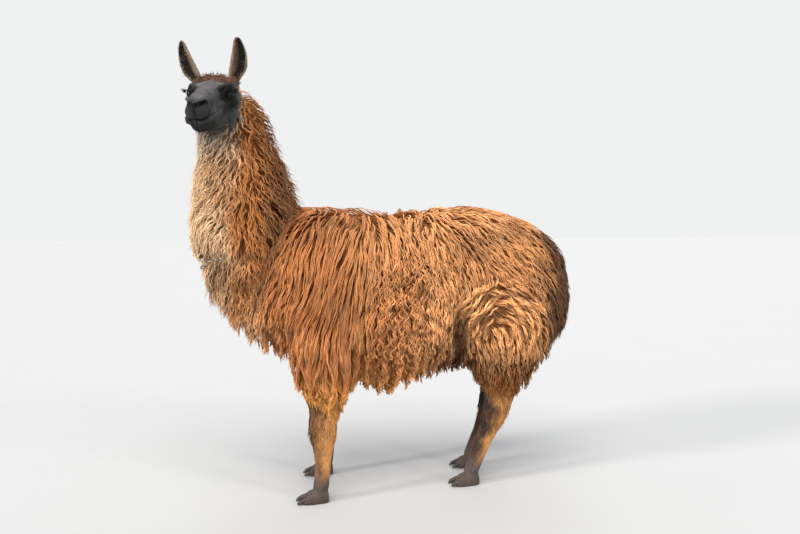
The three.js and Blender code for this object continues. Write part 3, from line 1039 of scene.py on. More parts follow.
def tubes(path, across, out, wide, deep, sides):
    """Closed tapering tubes along paths: points, quads, triangles, and each point's share along and round."""
    count, rings = path.shape[:2]
    turn = 2 * math.pi * np.arange(sides) / sides
    ring = (
        path[:, :-1, None]
        + across[:, :-1, None] * (np.cos(turn)[:, None] * wide[:, :-1, None, None])
        + out[:, :-1, None] * (np.sin(turn)[:, None] * deep[:, :-1, None, None])
    )
    body = (rings - 1) * sides
    points = np.concatenate([ring.reshape(count, body, 3), path[:, -1:]], 1)
    i, k = np.meshgrid(np.arange(rings - 2), np.arange(sides), indexing="ij")
    beside = i * sides + (k + 1) % sides
    here = i * sides + k
    quads = np.stack([here, here + sides, beside + sides, beside], -1).reshape(-1, 4)
    last = (rings - 2) * sides
    k = np.arange(sides)
    tris = np.stack([last + (k + 1) % sides, last + k, np.full(sides, body)], -1)
    root = [[0, 1, 2]] if sides == 3 else [[0, 1, 2], [0, 2, 3]]
    tris = np.concatenate([tris, root])
    share = np.append(np.repeat(np.linspace(0, 1, rings)[:-1], sides), 1.0)
    around = np.append(np.tile(np.arange(sides) / sides, rings - 1), 0.5)
    return points, quads, tris, share, around


def drawn_in(points):
    """Hair that would stand well outside the box of the solids is drawn back towards it."""
    low, high = np.array(CAD_BOX[0]) - 8 * MM, np.array(CAD_BOX[1]) + 8 * MM
    return points - 0.75 * (np.maximum(points - high, 0) - np.maximum(low - points, 0))


LOCK_VALUES = ("points", "uv", "mark", "strand", "share")  # what each point of a lock has


class Coat:
    """Hair gathered family by family, then joined into meshes of at most the budget of triangles."""

    def __init__(self, name, slot):
        self.name, self.slot, self.parts = name, slot, []

    def add(self, shape, uv, colour, tint, length, round_length, shade=None):
        """Adds locks. shape is what tubes() gives. uv, colour, tint and the two lengths have one value for
        each lock, and shade has one for each ring of each lock."""
        points, quads, tris, share, around = shape
        count, each = points.shape[:2]
        mark = np.repeat(colour[:, None], each, 1)
        if shade is not None:
            mark = mark * shade[:, np.rint(share * (shade.shape[1] - 1)).astype(int)][..., None]
        strand = np.empty((count, each, 3))
        strand[..., 0] = around * round_length[:, None]
        strand[..., 1] = share * length[:, None]
        strand[..., 2] = tint[:, None]
        self.parts.append({
            "points": drawn_in(points), "quads": quads, "tris": tris, "strand": strand,
            "uv": uv[:, None] + 0.003 * np.stack([around - 0.5, share - 0.5], -1),
            "mark": mark, "share": np.repeat(share[None, :, None], count, 0),
        })

    def build(self, material):
        """Makes the meshes, each as near to the budget as whole locks allow."""
        made, batch, room = [], [], BUDGET
        for part in self.parts:
            each = len(part["quads"]) * 2 + len(part["tris"])
            start, count = 0, len(part["points"])
            while start < count:
                take = min(count - start, room // each)
                if take:
                    piece = {key: part[key][start : start + take] for key in LOCK_VALUES}
                    batch.append({**piece, "quads": part["quads"], "tris": part["tris"]})
                start, room = start + take, room - take * each
                if start < count:
                    made.append(self.mesh(batch, len(made) + 1, material))
                    batch, room = [], BUDGET
        if batch:
            self.mesh(batch, len(made) + 1, material)

    def mesh(self, batch, number, material):
        """One object of the coat, from a batch of locks."""
        faces, begin = {"quads": [], "tris": []}, 0
        for part in batch:
            count, each = part["points"].shape[:2]
            start = begin + np.arange(count)[:, None, None] * each
            for kind, found in faces.items():
                found.append((part[kind] + start).reshape(-1, part[kind].shape[-1]))
            begin += count * each
        flat = {}
        for key in LOCK_VALUES:
            flat[key] = np.concatenate([part[key].reshape(-1, part[key].shape[-1]) for part in batch])
        tris, quads = np.concatenate(faces["tris"]), np.concatenate(faces["quads"])
        obj = make_object(f"{self.name}_{number}", flat["points"], tris, quads, material)
        set_uv(obj.data, flat["uv"][corner_vertices(obj.data)])
        set_mark(obj.data, flat["mark"])
        set_values(obj.data, "strand", flat["strand"])
        set_values(obj.data, "share", flat["share"])
        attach(obj, "root")
        return obj


# ------------------------------------------------------------------ how the fleece lies


def gather(p):
    """Phase of the larger clumps that neighbouring locks draw together into."""
    x, y, _ = xyz(p)
    round_body = np.where(np.abs(y) > 0.02, x, x + y)
    return 2 * math.pi * round_body / 0.055 + 2.6 * ripple(p, 0.16, 31)


SWEEP = np.array([  # place along the body, and how far the fleece there sweeps back as it falls
    (-0.60, -0.22), (-0.45, -0.30), (-0.25, -0.34), (-0.05, -0.10),
    (0.10, 0.06), (0.30, 0.36), (0.50, 0.66), (0.72, 0.45),
])


def body_flow(p, turned):
    """The way the fleece lies: down, sweeping forward at the shoulder and back at the rump.

    Over the thigh the locks follow arcs, backward where turned is 1 and forward where it is -1.
    """
    x, _, z = xyz(p)
    _, _, neck, tail, shank = regions(p)
    thigh = thigh_share(p)
    sweep = np.interp(x, SWEEP[:, 0], SWEEP[:, 1]) * mix(0.15, 1.0, step(0.55, 0.8, z))
    sweep = mix(sweep, np.clip((-0.24 - x) * 3, -0.6, 0.6), step(0.56, 0.46, z) * (x < -0.1))
    sweep = mix(sweep, 0.55 * np.clip((x + 0.575) / 0.14, -1, 1), neck)
    way = np.zeros_like(p)
    way[..., 0] = sweep + 0.16 * ripple(p, 0.2, 21) + mix(0.14, 0.42, neck) * ripple(p, 0.06, 22)
    way[..., 0] -= mix(0.08, 0.32, step(0.62, 0.50, z)) * np.sin(gather(p)) * (1 - thigh)
    way[..., 1] = 0.2 * ripple(p, 0.2, 23) + 0.35 * neck * ripple(p, 0.05, 24)
    way[..., 2] = -1
    off = p - THIGH
    reach = np.hypot(off[..., 0], off[..., 2]) + 1e-6
    arch = np.zeros_like(p)
    arch[..., 0] = turned * off[..., 2] / reach
    arch[..., 2] = np.minimum(-turned * off[..., 0] / reach, 0.1) - 0.18
    arch += 0.45 * np.stack([ripple(p, 0.05, 27), 0 * reach, ripple(p, 0.05, 28)], -1)
    above = step(-0.03, 0.04, off[..., 2]) * step(0.03, 0.08, reach) * step(0.27, 0.20, reach)
    way = mix(way, arch, (0.9 * above * thigh)[..., None])
    calm = np.maximum(tail, shank)[..., None]
    return mix(way, np.array([0.08, 0, -1.0]) + 0 * p, calm)


def relief(p):
    """How far the fleece stands out at p beyond its mean lie, from -1 to 1, and by how many metres.

    It has arcs over the thigh, curls on the flank, and lumps all over.
    """
    x, _, z = xyz(p)
    _, _, neck, _, _ = regions(p)
    off = p - THIGH
    reach = np.hypot(off[..., 0], off[..., 2] * 0.9)
    arcs = thigh_share(p) * step(0.02, 0.05, reach) * step(0.27, 0.18, reach) * step(-0.06, 0.0, off[..., 2])
    phase = 2 * math.pi * reach / 0.033 + 1.5 * ripple(p, 0.08, 61)
    flank = step(-0.14, 0.02, x) * step(0.25, 0.20, x) * step(1.0, 0.84, z) * (1 - neck)
    curl = np.sin(2 * math.pi * z / 0.062 + 5.0 * ripple(p, 0.13, 62) + 2.4 * ripple(p, 0.06, 63) + 9 * x)
    curl = curl * step(-0.7, 0.5, ripple(p, 0.11, 65))
    high = np.clip(arcs * np.sin(phase) + flank * curl * (1 - arcs), -1, 1)
    lumps = ripple(p, 0.15, 64)
    fold = shaded_fold(p)
    high = mix(high, -1, fold)
    stand = (7 + 3 * flank) * high + (4 + 6 * flank + 4 * neck) * lumps - 28 * fold
    return high, np.minimum(stand * MM, 12 * MM)


def trace(root, normal, length, segments, rest, rise, hem):
    """Paths that leave their roots and come to lie `rest` under the surface of the solids.

    `rise` lifts the ends. Underneath the body they hang free, as far as `hem` beyond the surface.
    """
    here, path, outs = root.copy(), [root], [normal]
    turned = np.where(rng.random(len(root)) < step(-0.10, 0.08, root[:, 0] - THIGH[0]), 1.0, -1.0)
    first = -tips.at(root)
    pace = (length / segments)[:, None]
    for i in range(segments):
        t = (i + 1) / segments
        out = tips.slope(here)
        free = (step(0.1, 0.6, -out[:, 2]) * step(0.80, 0.70, here[:, 2]))[:, None]
        way = body_flow(here, turned)
        way = unit(way - 0.9 * (1 - free) * out * dot(way, out))
        room = np.clip((hem - tips.at(here)) / (0.5 * length), 0.12, 1)[:, None]
        near_hem = np.clip((here[:, 2] - hem_height(here) + hem) / 0.05, 0.22, 1)[:, None]
        here = here + way * pace * mix(1.0, room, free) * near_hem
        climb = min(1.0, 1.9 * t)
        wanted = mix(first, rest, climb * climb * (3 - 2 * climb)) - rise * max(0, t - 0.4) ** 2 * 2.8
        depth = tips.at(here)
        fix = mix(-wanted - depth, np.minimum(hem - depth, 0), free[:, 0])
        most = 0.9 * pace[:, 0]
        here = here + out * np.clip(fix, -most, most)[:, None]
        path.append(here)
        outs.append(out)
    return np.stack(path, 1), np.stack(outs, 1)


FLEECE = {  # millimetres: length, width, side wave, outward wave, wave length, rest, lift; then straggle
    "flank": (104, 9.5, 3.4, 2.5, 52, 6, 5, 0.8),
    "top": (104, 8.5, 2.6, 1.5, 60, 5, 3, 0.6),
    "shoulder": (150, 7.5, 1.6, 1.2, 74, 5, 3, 0.5),
    "curl": (86, 11, 8.5, 5.5, 46, 6, 7, 1.0),
    "low": (92, 11, 7.0, 5.0, 44, 7, 9, 1.0),
    "leg": (95, 11, 6.0, 4.0, 44, 5, 7, 0.8),
    "thigh": (88, 10.5, 3.4, 3.0, 42, 6, 6, 0.8),
    "neck": (84, 7, 4.6, 3.2, 46, 6, 12, 1.4),
    "front": (98, 5.5, 2.6, 2.0, 62, 6, 7, 1.0),
    "nape": (92, 7, 4.2, 3.4, 54, 4, 20, 1.5),
    "tail": (150, 7.5, 2.0, 1.0, 80, 4, 12, 0.9),
}


def fleece_shape(p):
    """The values of FLEECE, blended for the points p, with lengths in metres."""
    x, _, z = xyz(p)
    _, _, neck, tail, _ = regions(p)
    shares = {
        "top": step(1.0, 1.08, z) * (1 - neck),
        "shoulder": step(-0.44, -0.32, x) * step(0.06, -0.10, x) * (1 - neck),
        "curl": step(-0.16, -0.04, x) * step(0.26, 0.16, x) * step(1.02, 0.90, z) * (1 - neck),
        "low": step(0.76, 0.60, z) * step(-0.20, 0.0, x) * (1 - neck),
        "leg": step(0.56, 0.46, z) * step(0.0, -0.12, x),
        "thigh": thigh_share(p),
        "neck": neck,
        "front": step(-0.64, -0.74, x) * neck,
        "nape": step(-0.52, -0.44, x) * neck * step(0.9, 1.0, z),
        "tail": tail,
    }
    values = np.array(FLEECE["flank"], float)
    for name, share in shares.items():
        values = mix(values, np.array(FLEECE[name], float), share[..., None])
    values = np.moveaxis(values, -1, 0).copy()
    values[0] *= mix(1.0, 0.6, step(1.34, 1.46, z))
    values[:7] *= MM
    return values


def spread(count, low, high):
    """Random values, one for each lock."""
    return rng.uniform(low, high, count)


def shades(count, low, high):
    """Random lightness, one for each lock."""
    return mix(low, high, rng.random((count, 1)))


def steps_along(segments):
    """Shares along a lock, from root to tip."""
    return np.linspace(0, 1, segments + 1)[None]


def taper(t, full, start, tip):
    """A lock's width along it: narrower at the root, full by `full`, then drawn out to a point."""
    grow = start + (1 - start) * np.clip(t / full, 0, 1) ** 0.7
    return np.minimum(grow, np.clip((1 - t) / (1 - full), 0, 1) ** tip)


def wool_roots(skin, spacing, on_neck):
    """Places for locks, with each one's bearing and height at the collar, its share of neck, and whether the
    collar's front holds it down. The wool parts at the collar's sides."""
    def share(p):
        _, face, neck, _, _ = regions(p)
        wool = (1 - face) * step(-0.005, 0.02, p[..., 2] - hem_height(p))
        return ((neck > 0.5) == on_neck) * wool * off_ears(p)

    p, n, uv = skin.roots(spacing, share)
    turn = collar_turn(p)
    drop = p[:, 2] - collar_line(turn)[:, 2]
    _, _, neck, _, _ = regions(p)
    side = np.abs(turn)
    near = (neck * (drop > -0.02) > 0.3) & (side < 1.2)
    parted = near & (drop > -0.012) & (drop < 0.016) & (side > 0.36) & (side < 1.12)
    return [v[~parted] for v in (p, n, uv, side, drop, near, neck)]


def grow_fleece(coat, skin, spacing, strands, on_neck):
    """Locks over the trunk, neck, tail and upper legs: each a flattened core with finer strands beside it."""
    p, n, uv, side, drop, near, neck = wool_roots(skin, spacing, on_neck)
    count = len(p)
    length, width, sway, heave, wave, rest, lift, straggle = fleece_shape(p)
    length = length * spread(count, 0.78, 1.22)
    beard = 0.085 * step(0.52, 0.34, side) + 0.09 * step(1.1, 1.25, side)
    reach = drop * 1.06 + spread(count, -0.006, 0.010) + beard
    length = np.where(near, np.minimum(length, np.maximum(reach, 0.02)), length)
    width = width * spread(count, 0.7, 1.3) * np.clip(length / 0.07, 0.6, 1)
    rest = rest * spread(count, 0.1, 1.9)
    lift = np.minimum(lift * rng.random(count) ** 2 * 2.2, mix(9, 60, neck) * MM)
    lift = np.where(near & (reach < 0.09), 0.35 * lift, lift)
    cover = neck * step(0.12, 0.07, np.abs(drop - 0.03))
    cover = cover * np.maximum(step(1.0, 1.15, side), step(0.48, 0.36, side))
    rest = mix(rest, -spread(count, 4, 14) * MM, cover)  # here the wool closes over the collar
    wave = wave * spread(count, 0.8, 1.25)
    hem = mix(-0.026, 0.020, 0.5 + 0.5 * np.cos(gather(p))) + spread(count, -0.010, 0.010)
    hem = hem + 0.034 * hump(p[:, 0], -0.02, 0.055)  # a long tuft behind the elbow
    phase, turn = spread(count, 0, 6.3), spread(count, 0, 6.3)
    segments = 9
    path, outs = trace(p, n, length, segments, rest, lift, hem)
    across, out = across_and_out(path, outs)
    grown = np.linalg.norm(np.diff(path, axis=1), axis=2).sum(1)
    scale = np.clip(grown / (0.75 * length), 0.15, 1)
    width, sway, heave, length = width * scale**0.6, sway * scale, heave * scale, grown
    t = steps_along(segments)
    run = 2 * math.pi * t * length[:, None] / wave[:, None] + phase[:, None]
    swell = np.clip(t * 1.6, 0, 1) ** 1.2
    core = path + across * ((sway[:, None] * swell * np.sin(run))[..., None])
    high, lump = relief(core)
    rise = heave[:, None] * swell * np.sin(run + turn[:, None])
    rise = rise + lump * np.clip(t * 2.5, 0, 1) * scale[:, None]
    core = core + out * np.minimum(rise, 9 * MM)[..., None]
    # painted shade in the troughs of the relief and painted light on its crests
    trough_shade = mix(0.5, 1.16, 0.5 + 0.5 * high) / mix(0.5, 1.16, 0.5)
    lean = spread(count, -0.5, 0.5)[:, None, None]
    across, out = across_and_out(core, out + lean * across)
    half = width[:, None] / 2 * taper(t, 0.38, 0.5, 0.8)
    colour = markings(p, n) * shades(count, 0.78, 1.2)
    shape = tubes(core, across, out, half, half * 0.42, 3)
    coat.add(shape, uv, colour, rng.random(count), length, width * 2, trough_shade)

    thin = 5  # segments of a strand
    pick = np.rint(np.linspace(0, segments, thin + 1)).astype(int)
    core_end = unit(core[:, -1:] - core[:, -2:-1])
    core, across, out, trough_shade = (v[:, pick] for v in (core, across, out, trough_shade))
    length, width, sway, wave, straggle = (v[:, None] for v in (length, width, sway, wave, straggle))
    s = steps_along(thin)
    for _ in range(strands):
        ray = spread(count, 0, 2 * math.pi)[:, None]
        away = width * spread(count, 0.35, 0.95)[:, None]
        together = 0.6 * s**1.6 * (1 - straggle * spread(count, 0, 1.2)[:, None])
        away = away * (1 - together) * np.clip(0.4 + 2 * s, 0, 1)
        base = core + across * (np.cos(ray) * away)[..., None]
        base = base + out * (0.6 * np.abs(np.sin(ray)) * away)[..., None]
        base = base + core_end * ((spread(count, -0.05, 0.16)[:, None] * length) * s**2)[..., None]
        shake = np.sin(2 * math.pi * s * length / (0.8 * wave) + spread(count, 0, 6.3)[:, None]) * s
        base = base + across * (0.5 * sway * shake)[..., None]
        radius = spread(count, 1.1, 2.3)[:, None] * MM * taper(s, 0.3, 0.7, 0.7)
        shade = colour * shades(count, 0.88, 1.22)
        shape = tubes(base, *across_and_out(base, out), radius, radius * 0.8, 3)
        coat.add(shape, uv, shade, rng.random(count), length[:, 0], radius[:, 1] * 6, trough_shade)


def grow_wisps(coat, skin, spacing):
    """Loose fine strands that stray over the neck."""
    def share(p):
        _, face, neck, _, _ = regions(p)
        x, _, z = xyz(p)
        return neck * (1 - face) * step(0.90, 0.98, z) * step(1.42, 1.30, z) * step(-0.72, -0.58, x)

    p, n, uv = skin.roots(spacing, share)
    count, segments = len(p), 9
    length = 0.145 * spread(count, 0.6, 1.25)
    rest, rise = -spread(count, 0, 10) * MM, 0.028 * rng.random(count)
    path, outs = trace(p, n, length, segments, rest, rise, spread(count, 0, 0.02))
    across, out = across_and_out(path, outs)
    t = steps_along(segments)
    for way, size in ((across, 0.011), (out, 0.006)):
        sway = np.sin(2 * math.pi * t * length[:, None] / 0.075 + spread(count, 0, 6.3)[:, None])
        path = path + way * (size * t * sway)[..., None]
    radius = spread(count, 1.0, 2.0)[:, None] * MM * taper(t, 0.3, 0.7, 0.7)
    colour = markings(p, n) * shades(count, 0.9, 1.5)
    shape = tubes(path, *across_and_out(path, outs), radius, radius, 3)
    coat.add(shape, uv, colour, rng.random(count), length, radius[:, 1] * 6)


# ------------------------------------------------------------------ the short hair


def grow_tufts(coat, roots, way, length, width, lift, colour, droop=0.5, segments=3, wander=0.15):
    """Short tufts that leave the skin at the angle `lift`, and bend over to lie along `way`."""
    p, n, uv = roots
    count = len(p)
    way = unit(way - n * dot(way, n))
    beside = np.cross(n, way)
    way = unit(way + beside * rng.normal(0, wander, (count, 1)))
    t = steps_along(segments)[..., None]
    length = length * spread(count, 0.75, 1.25)
    width = width * spread(count, 0.75, 1.25)
    lift = lift * spread(count, 0.7, 1.3)
    run = (length * np.cos(lift))[:, None, None]
    climb = (length * np.sin(lift))[:, None, None]
    path = (p - 1.2 * MM * n)[:, None] + way[:, None] * run * t + n[:, None] * climb * (t - droop * t * t)
    across, out = across_and_out(path, np.repeat(n[:, None], segments + 1, 1))
    half = width[:, None] / 2 * taper(t[..., 0], 0.4, 0.7, 0.8)
    shape = tubes(path, across, out, half, half * 0.5, 3)
    coat.add(shape, uv, colour, rng.random(count), length, width * 2)


def head_way(p):
    """The way the hair of the head lies: back from the nose, and down over the cheeks."""
    q = to_head(p)
    side = np.sign(q[..., 1])
    down = mix(0.05, -0.75, step(-10, -60, q[..., 2]))
    return np.stack([np.full(side.shape, -1.0), 0.25 * side, down], -1) @ HEAD_M.T


def grow_short(coat, skin, spacing):
    """The close hair of the face."""
    def share(p):
        q, face, _, _, _ = regions(p)
        eye = np.minimum(*(np.linalg.norm(p - e, axis=-1) for e in (EYE_L, EYE_R)))
        nose = np.linalg.norm(q - [182, 0, -12], axis=-1) > 34
        bare = (eye > 0.034) * nose * (rope(q, LIPS, 1.0) > 5)
        return np.clip(face, 0, 1) * bare * off_ears(p)

    roots = p, n, _ = skin.roots(spacing, share)
    length = mix(13, 6, step(0, 120, to_head(p)[..., 0])) * MM
    colour = markings(p, n) * shades(len(p), 0.72, 1.34)
    grow_tufts(coat, roots, head_way(p), length, 1.5 * MM, 0.13, colour, droop=0.8, segments=2)


def ear_part(p):
    """Whether points p are ear, their place across it (1 at the rim), share up it, and the ear's axes."""
    q = to_head(p)
    mine, across, up = (np.zeros(p.shape[:-1]) for _ in range(3))
    axes = [np.zeros_like(p) for _ in range(3)]
    for which, (side, _) in EARS.items():
        e, share = ear_share(q, which)
        bow, wide, _ = ear_section(np.clip(share, 0, 1), side)
        here = (share > 0.02) & (share < 1.1) & near_ear(e)
        mine = np.where(here, 1.0, mine)
        across = np.where(here, (e[..., 1] - bow) / np.maximum(wide, 3), across)
        up = np.where(here, share, up)
        turned = HEAD_M @ ear_frame(which)[0]
        for i, axis in enumerate(axes):
            axis[here] = turned[:, i]
    return mine, across, up, *axes


def off_ears(p):
    """Whether points p are clear of the ears."""
    return ear_part(p)[0] < 0.5


def grow_ears(coat, skin, spacing):
    """Close hair all over the ears, a pale fringe round their rims, and streaks in their hollows."""
    roots = p, n, _ = skin.roots(spacing, lambda p: ear_part(p)[0])
    _, across, _, front, side, high = ear_part(p)
    inside = dot(n, front)[:, 0] > 0.05
    rim = np.abs(across) > 0.72
    colour = markings(p, n) * shades(len(p), 0.75, 1.3)
    way = high + side * (np.sign(across) * np.where(rim, 0.35, 0.1))[:, None]
    way = np.where((inside & ~rim)[:, None], high - 0.5 * side * across[:, None], way)
    lift = np.where(rim, 0.3, 0.16)
    grow_tufts(coat, roots, way, 9 * MM, 1.6 * MM, lift, colour, wander=0.25, droop=0.8)

    def edge(p):
        mine, across, up, _, _, _ = ear_part(p)
        return mine * (np.abs(across) > 0.66) * step(0.02, 0.1, up)

    roots = p, _, _ = skin.roots(spacing * 0.62, edge)
    _, across, up, front, side, high = ear_part(p)
    turned = np.sign(across)[:, None] * rng.choice([-0.75, 0.25], (len(p), 1), p=[0.6, 0.4])
    colour = mix(PALE, TAN, 0.6 * rng.random((len(p), 1))) * shades(len(p), 0.5, 1.0)
    length = mix(17, 9, step(0.3, 0.95, up)) * MM
    way = high + side * turned + 0.3 * front
    grow_tufts(coat, roots, way, length, 1.1 * MM, 0.3, colour, wander=0.3, droop=0.85)

    def hollow(p):
        mine, across, up, front, _, _ = ear_part(p)
        return mine * (dot(skin.normals, front)[:, 0] > 0) * (np.abs(across) > 0.3) * step(0.95, 0.8, up)

    roots = p, _, _ = skin.roots(spacing * 1.1, hollow)
    _, across, _, _, side, high = ear_part(p)
    way = high - side * (np.sign(across) * spread(len(p), 0.1, 0.9))[:, None]
    colour = mix(PALE * 0.7, TAN * 0.5, rng.random((len(p), 1))) * shades(len(p), 0.4, 1.0)
    grow_tufts(coat, roots, way, 18 * MM, 1.2 * MM, 0.25, colour, wander=0.35, droop=0.8)


def grow_crown(coat, skin, spacing):
    """The rust tuft on the crown, and the pale hair round the cheeks and behind the jaw."""
    def crown(p):
        ahead, left, up = xyz(to_head(p))
        share = step(-112, -96, ahead) * step(-18, -40, ahead) * step(60, 44, np.abs(left))
        return share * (up > 24) * off_ears(p)

    roots = p, n, _ = skin.roots(spacing, crown)
    q = to_head(p)
    curl = ripple(q, 30, 42) + 0.6 * np.sign(q[..., 1])
    spin = np.stack([0.5 + 0.5 * ripple(q, 28, 41), curl, 0.2 + 0 * q[..., 0]], -1) @ HEAD_M.T
    colour = mix(paint(92, 62, 48), paint(164, 116, 84), rng.random((len(p), 1))) * shades(len(p), 0.6, 1.25)
    grow_tufts(coat, roots, spin, 34 * MM, 2.0 * MM, 0.62, colour, wander=0.5, segments=5, droop=0.7)

    def cheek(p):
        q, face, _, _, _ = regions(p)
        back = step(20, 2, behind_face(q)) * step(-100, -60, behind_face(q))
        throat = step(1.0, 0.85, face) * (q[..., 2] < -60)
        here = (beyond(p, NECK_CUT) > -0.04) * (q[..., 2] < 34)
        return np.maximum(back, throat) * here * off_ears(p)

    roots = p, n, _ = skin.roots(spacing * 1.15, cheek)
    colour = markings(p, n) * shades(len(p), 0.7, 1.2)
    length = mix(30, 46, step(-60, -110, to_head(p)[..., 2])) * MM
    grow_tufts(coat, roots, head_way(p), length, 3.0 * MM, 0.34, colour, wander=0.3, segments=5, droop=0.65)


def grow_shanks(coat, skin, spacing):
    """The close hair of the lower legs and feet, longer where the wool gives way to it."""
    nails = np.array([centre(name) for name in ALL_NAILS])

    def share(p):
        clear = np.min([np.linalg.norm(p - nail, axis=-1) for nail in nails], 0) > 0.024
        return step(0.03, 0.0, p[..., 2] - hem_height(p)) * step(0.012, 0.02, p[..., 2]) * clear

    roots = p, n, _ = skin.roots(spacing, share)
    z = p[:, 2]
    length = np.where(z < 0.06, 8, mix(9, 24, step(0.22, 0.34, z))) * MM
    width = mix(3, 5, step(0.22, 0.34, z)) * MM
    colour = markings(p, n) * shades(len(p), 0.7, 1.3)
    way = np.stack([0.15 * ripple(p, 0.05, 51), 0.15 * ripple(p, 0.05, 52), -1 + 0 * z], -1)
    grow_tufts(coat, roots, way, length, width, 0.16, colour, segments=2)
    pick = (z > 0.24) & (rng.random(len(p)) < 0.35)
    roots, colour = [v[pick] for v in roots], colour[pick] * 1.1
    grow_tufts(coat, roots, way[pick], 38 * MM, 4.5 * MM, 0.22, colour, wander=0.2, segments=4)


# ------------------------------------------------------------------ materials


class Graph:
    """The nodes of a material or a world, added one by one and wired as they are added."""

    def __init__(self, name, owner=None):
        self.owner = owner or bpy.data.materials.new(name)
        self.owner.use_nodes = True
        self.tree = self.owner.node_tree
        self.tree.nodes.clear()

    def add(self, kind, inputs=None, **settings):
        """A shader node, with each input wired to a socket or set to a value."""
        node = self.tree.nodes.new("ShaderNode" + kind)
        for key, value in settings.items():
            setattr(node, key, value)
        for key, value in (inputs or {}).items():
            if isinstance(value, bpy.types.NodeSocket):
                self.tree.links.new(value, node.inputs[key])
            else:
                node.inputs[key].default_value = value
        return node

    def attribute(self, name, kind="Fac"):
        return self.add("Attribute", attribute_name=name).outputs[kind]

    def maths(self, operation, a, b=0.0):
        return self.add("Math", {0: a, 1: b}, operation=operation).outputs[0]

    def times(self, first, *others):
        for other in others:
            first = self.maths("MULTIPLY", first, other)
        return first

    def length(self, a, b):
        return self.maths("SQRT", self.maths("ADD", self.times(a, a), self.times(b, b)))

    def lit(self, colour, light):
        """A colour made lighter or darker."""
        return self.add("VectorMath", {0: colour, "Scale": light}, operation="SCALE").outputs[0]

    def noise(self, vector, scale, detail=3.0, rough=0.6):
        made = self.add("TexNoise", {"Vector": vector, "Scale": scale, "Detail": detail, "Roughness": rough})
        return made.outputs["Fac"]

    def stretch(self, vector, scale):
        return self.add("VectorMath", {0: vector, 1: scale}, operation="MULTIPLY").outputs[0]

    def tint(self, colour, other, share):
        return self.add("Mix", {0: share, 6: colour, 7: other}, data_type="RGBA").outputs[2]

    def remap(self, value, low, high, to_low, to_high):
        return self.add("MapRange", {0: value, 1: low, 2: high, 3: to_low, 4: to_high}).outputs[0]

    def place(self):
        return self.add("TexCoord").outputs["Object"]

    def finish(self, colour, rough, shine, bump=None, strength=0.0, distance=0.0):
        """Wires up the surface. bump is a height, and distance how far it stands out, in metres."""
        wires = {"Base Color": colour, "Roughness": rough, "Specular IOR Level": shine}
        if bump is not None:
            dents = {"Strength": strength, "Distance": distance, "Height": bump}
            wires["Normal"] = self.add("Bump", dents).outputs[0]
        shader = self.add("BsdfPrincipled", wires)
        self.add("OutputMaterial", {"Surface": shader.outputs[0]})
        return self.owner


def hair_material(name, root_shade, tip_shade, gold):
    """Hair, darker at the roots with painted shade, streaked with fibres, and warmer in some locks."""
    g = Graph(name)
    mark, share, strand = g.attribute("mark", "Color"), g.attribute("share"), g.attribute("strand", "Vector")
    fibres = g.noise(g.stretch(strand, (520, 26, 31)), 1.0, 4.0, 0.7)
    bands = g.noise(g.stretch(strand, (210, 20, 17)), 1.0, 2.0)
    tint = g.add("SeparateXYZ", {0: strand}).outputs[2]
    # painted shade: darker towards the roots, where the locks shade each other
    depth = g.remap(share, 0.0, 0.7, root_shade, tip_shade)
    light = g.times(depth, g.remap(fibres, 0.25, 0.75, 0.72, 1.18), g.remap(bands, 0.36, 0.64, 0.78, 1.16))
    warm = g.tint(mark, (1.0, 0.80, 0.50, 1), g.times(share, g.times(tint, gold)))
    return g.finish(g.lit(warm, light), 0.62, 0.12, fibres, 0.55, 0.0012)


def skin_material():
    """Close hair over the bare parts; dark with painted shade between the locks under the fleece."""
    g = Graph("skin")
    mark, bare, comb = g.attribute("mark", "Color"), g.attribute("bare"), g.attribute("comb", "Vector")
    hair = g.noise(comb, 620.0, 4.0, 0.7)
    clumps = g.noise(comb, 150.0, 2.0)
    mottle = g.noise(g.place(), 26.0, 3.0)
    # away from the bare parts the skin is darkened to 0.55 as painted shade between the locks
    light = g.times(
        g.remap(hair, 0.25, 0.75, 0.62, 1.36), g.remap(clumps, 0.3, 0.7, 0.8, 1.16),
        g.remap(mottle, 0.3, 0.7, 0.85, 1.12), g.remap(bare, 0.0, 1.0, 0.55, 1.0),
    )
    return g.finish(g.lit(mark, light), 0.7, 0.16, g.maths("ADD", hair, clumps), 0.5, 0.0015)


def eye_material():
    """A dark brown iris round a level, oval pupil, under a wet shine."""
    g = Graph("eye")
    ahead, level, up = g.add("SeparateXYZ", {0: g.attribute("look", "Vector")}).outputs
    oval = g.length(g.maths("DIVIDE", level, 7.6), g.maths("DIVIDE", up, 4.2))
    ring = g.length(level, up)
    around = g.add("CombineXYZ", {0: g.times(g.maths("ARCTAN2", up, level), 9.0), 1: ring})
    rays = g.noise(around.outputs[0], 1.2, 3.0)
    iris = g.tint((0.004, 0.003, 0.002, 1), (0.012, 0.007, 0.004, 1), rays)
    white = g.tint(iris, (0.008, 0.006, 0.005, 1), g.remap(ring, 11.0, 12.6, 0.0, 1.0))
    front = g.tint((0.003, 0.003, 0.004, 1), white, g.remap(oval, 0.9, 1.1, 0.0, 1.0))
    colour = g.tint((0.01, 0.006, 0.005, 1), front, g.remap(ahead, -22.0, 0.0, 0.0, 1.0))
    return g.finish(colour, 0.04, 0.22)


def nail_material():
    """Dark horn with a fine grain."""
    g = Graph("nail")
    place = g.place()
    grain = g.noise(g.stretch(place, (120, 420, 120)), 1.0, 4.0)
    rings = g.noise(g.stretch(place, (300, 40, 60)), 1.0, 2.0)
    colour = g.tint((0.012, 0.010, 0.009, 1), (0.085, 0.066, 0.05, 1), g.remap(grain, 0.35, 0.75, 0.0, 1.0))
    return g.finish(colour, 0.42, 0.5, g.maths("ADD", grain, rings), 0.35, 0.0008)


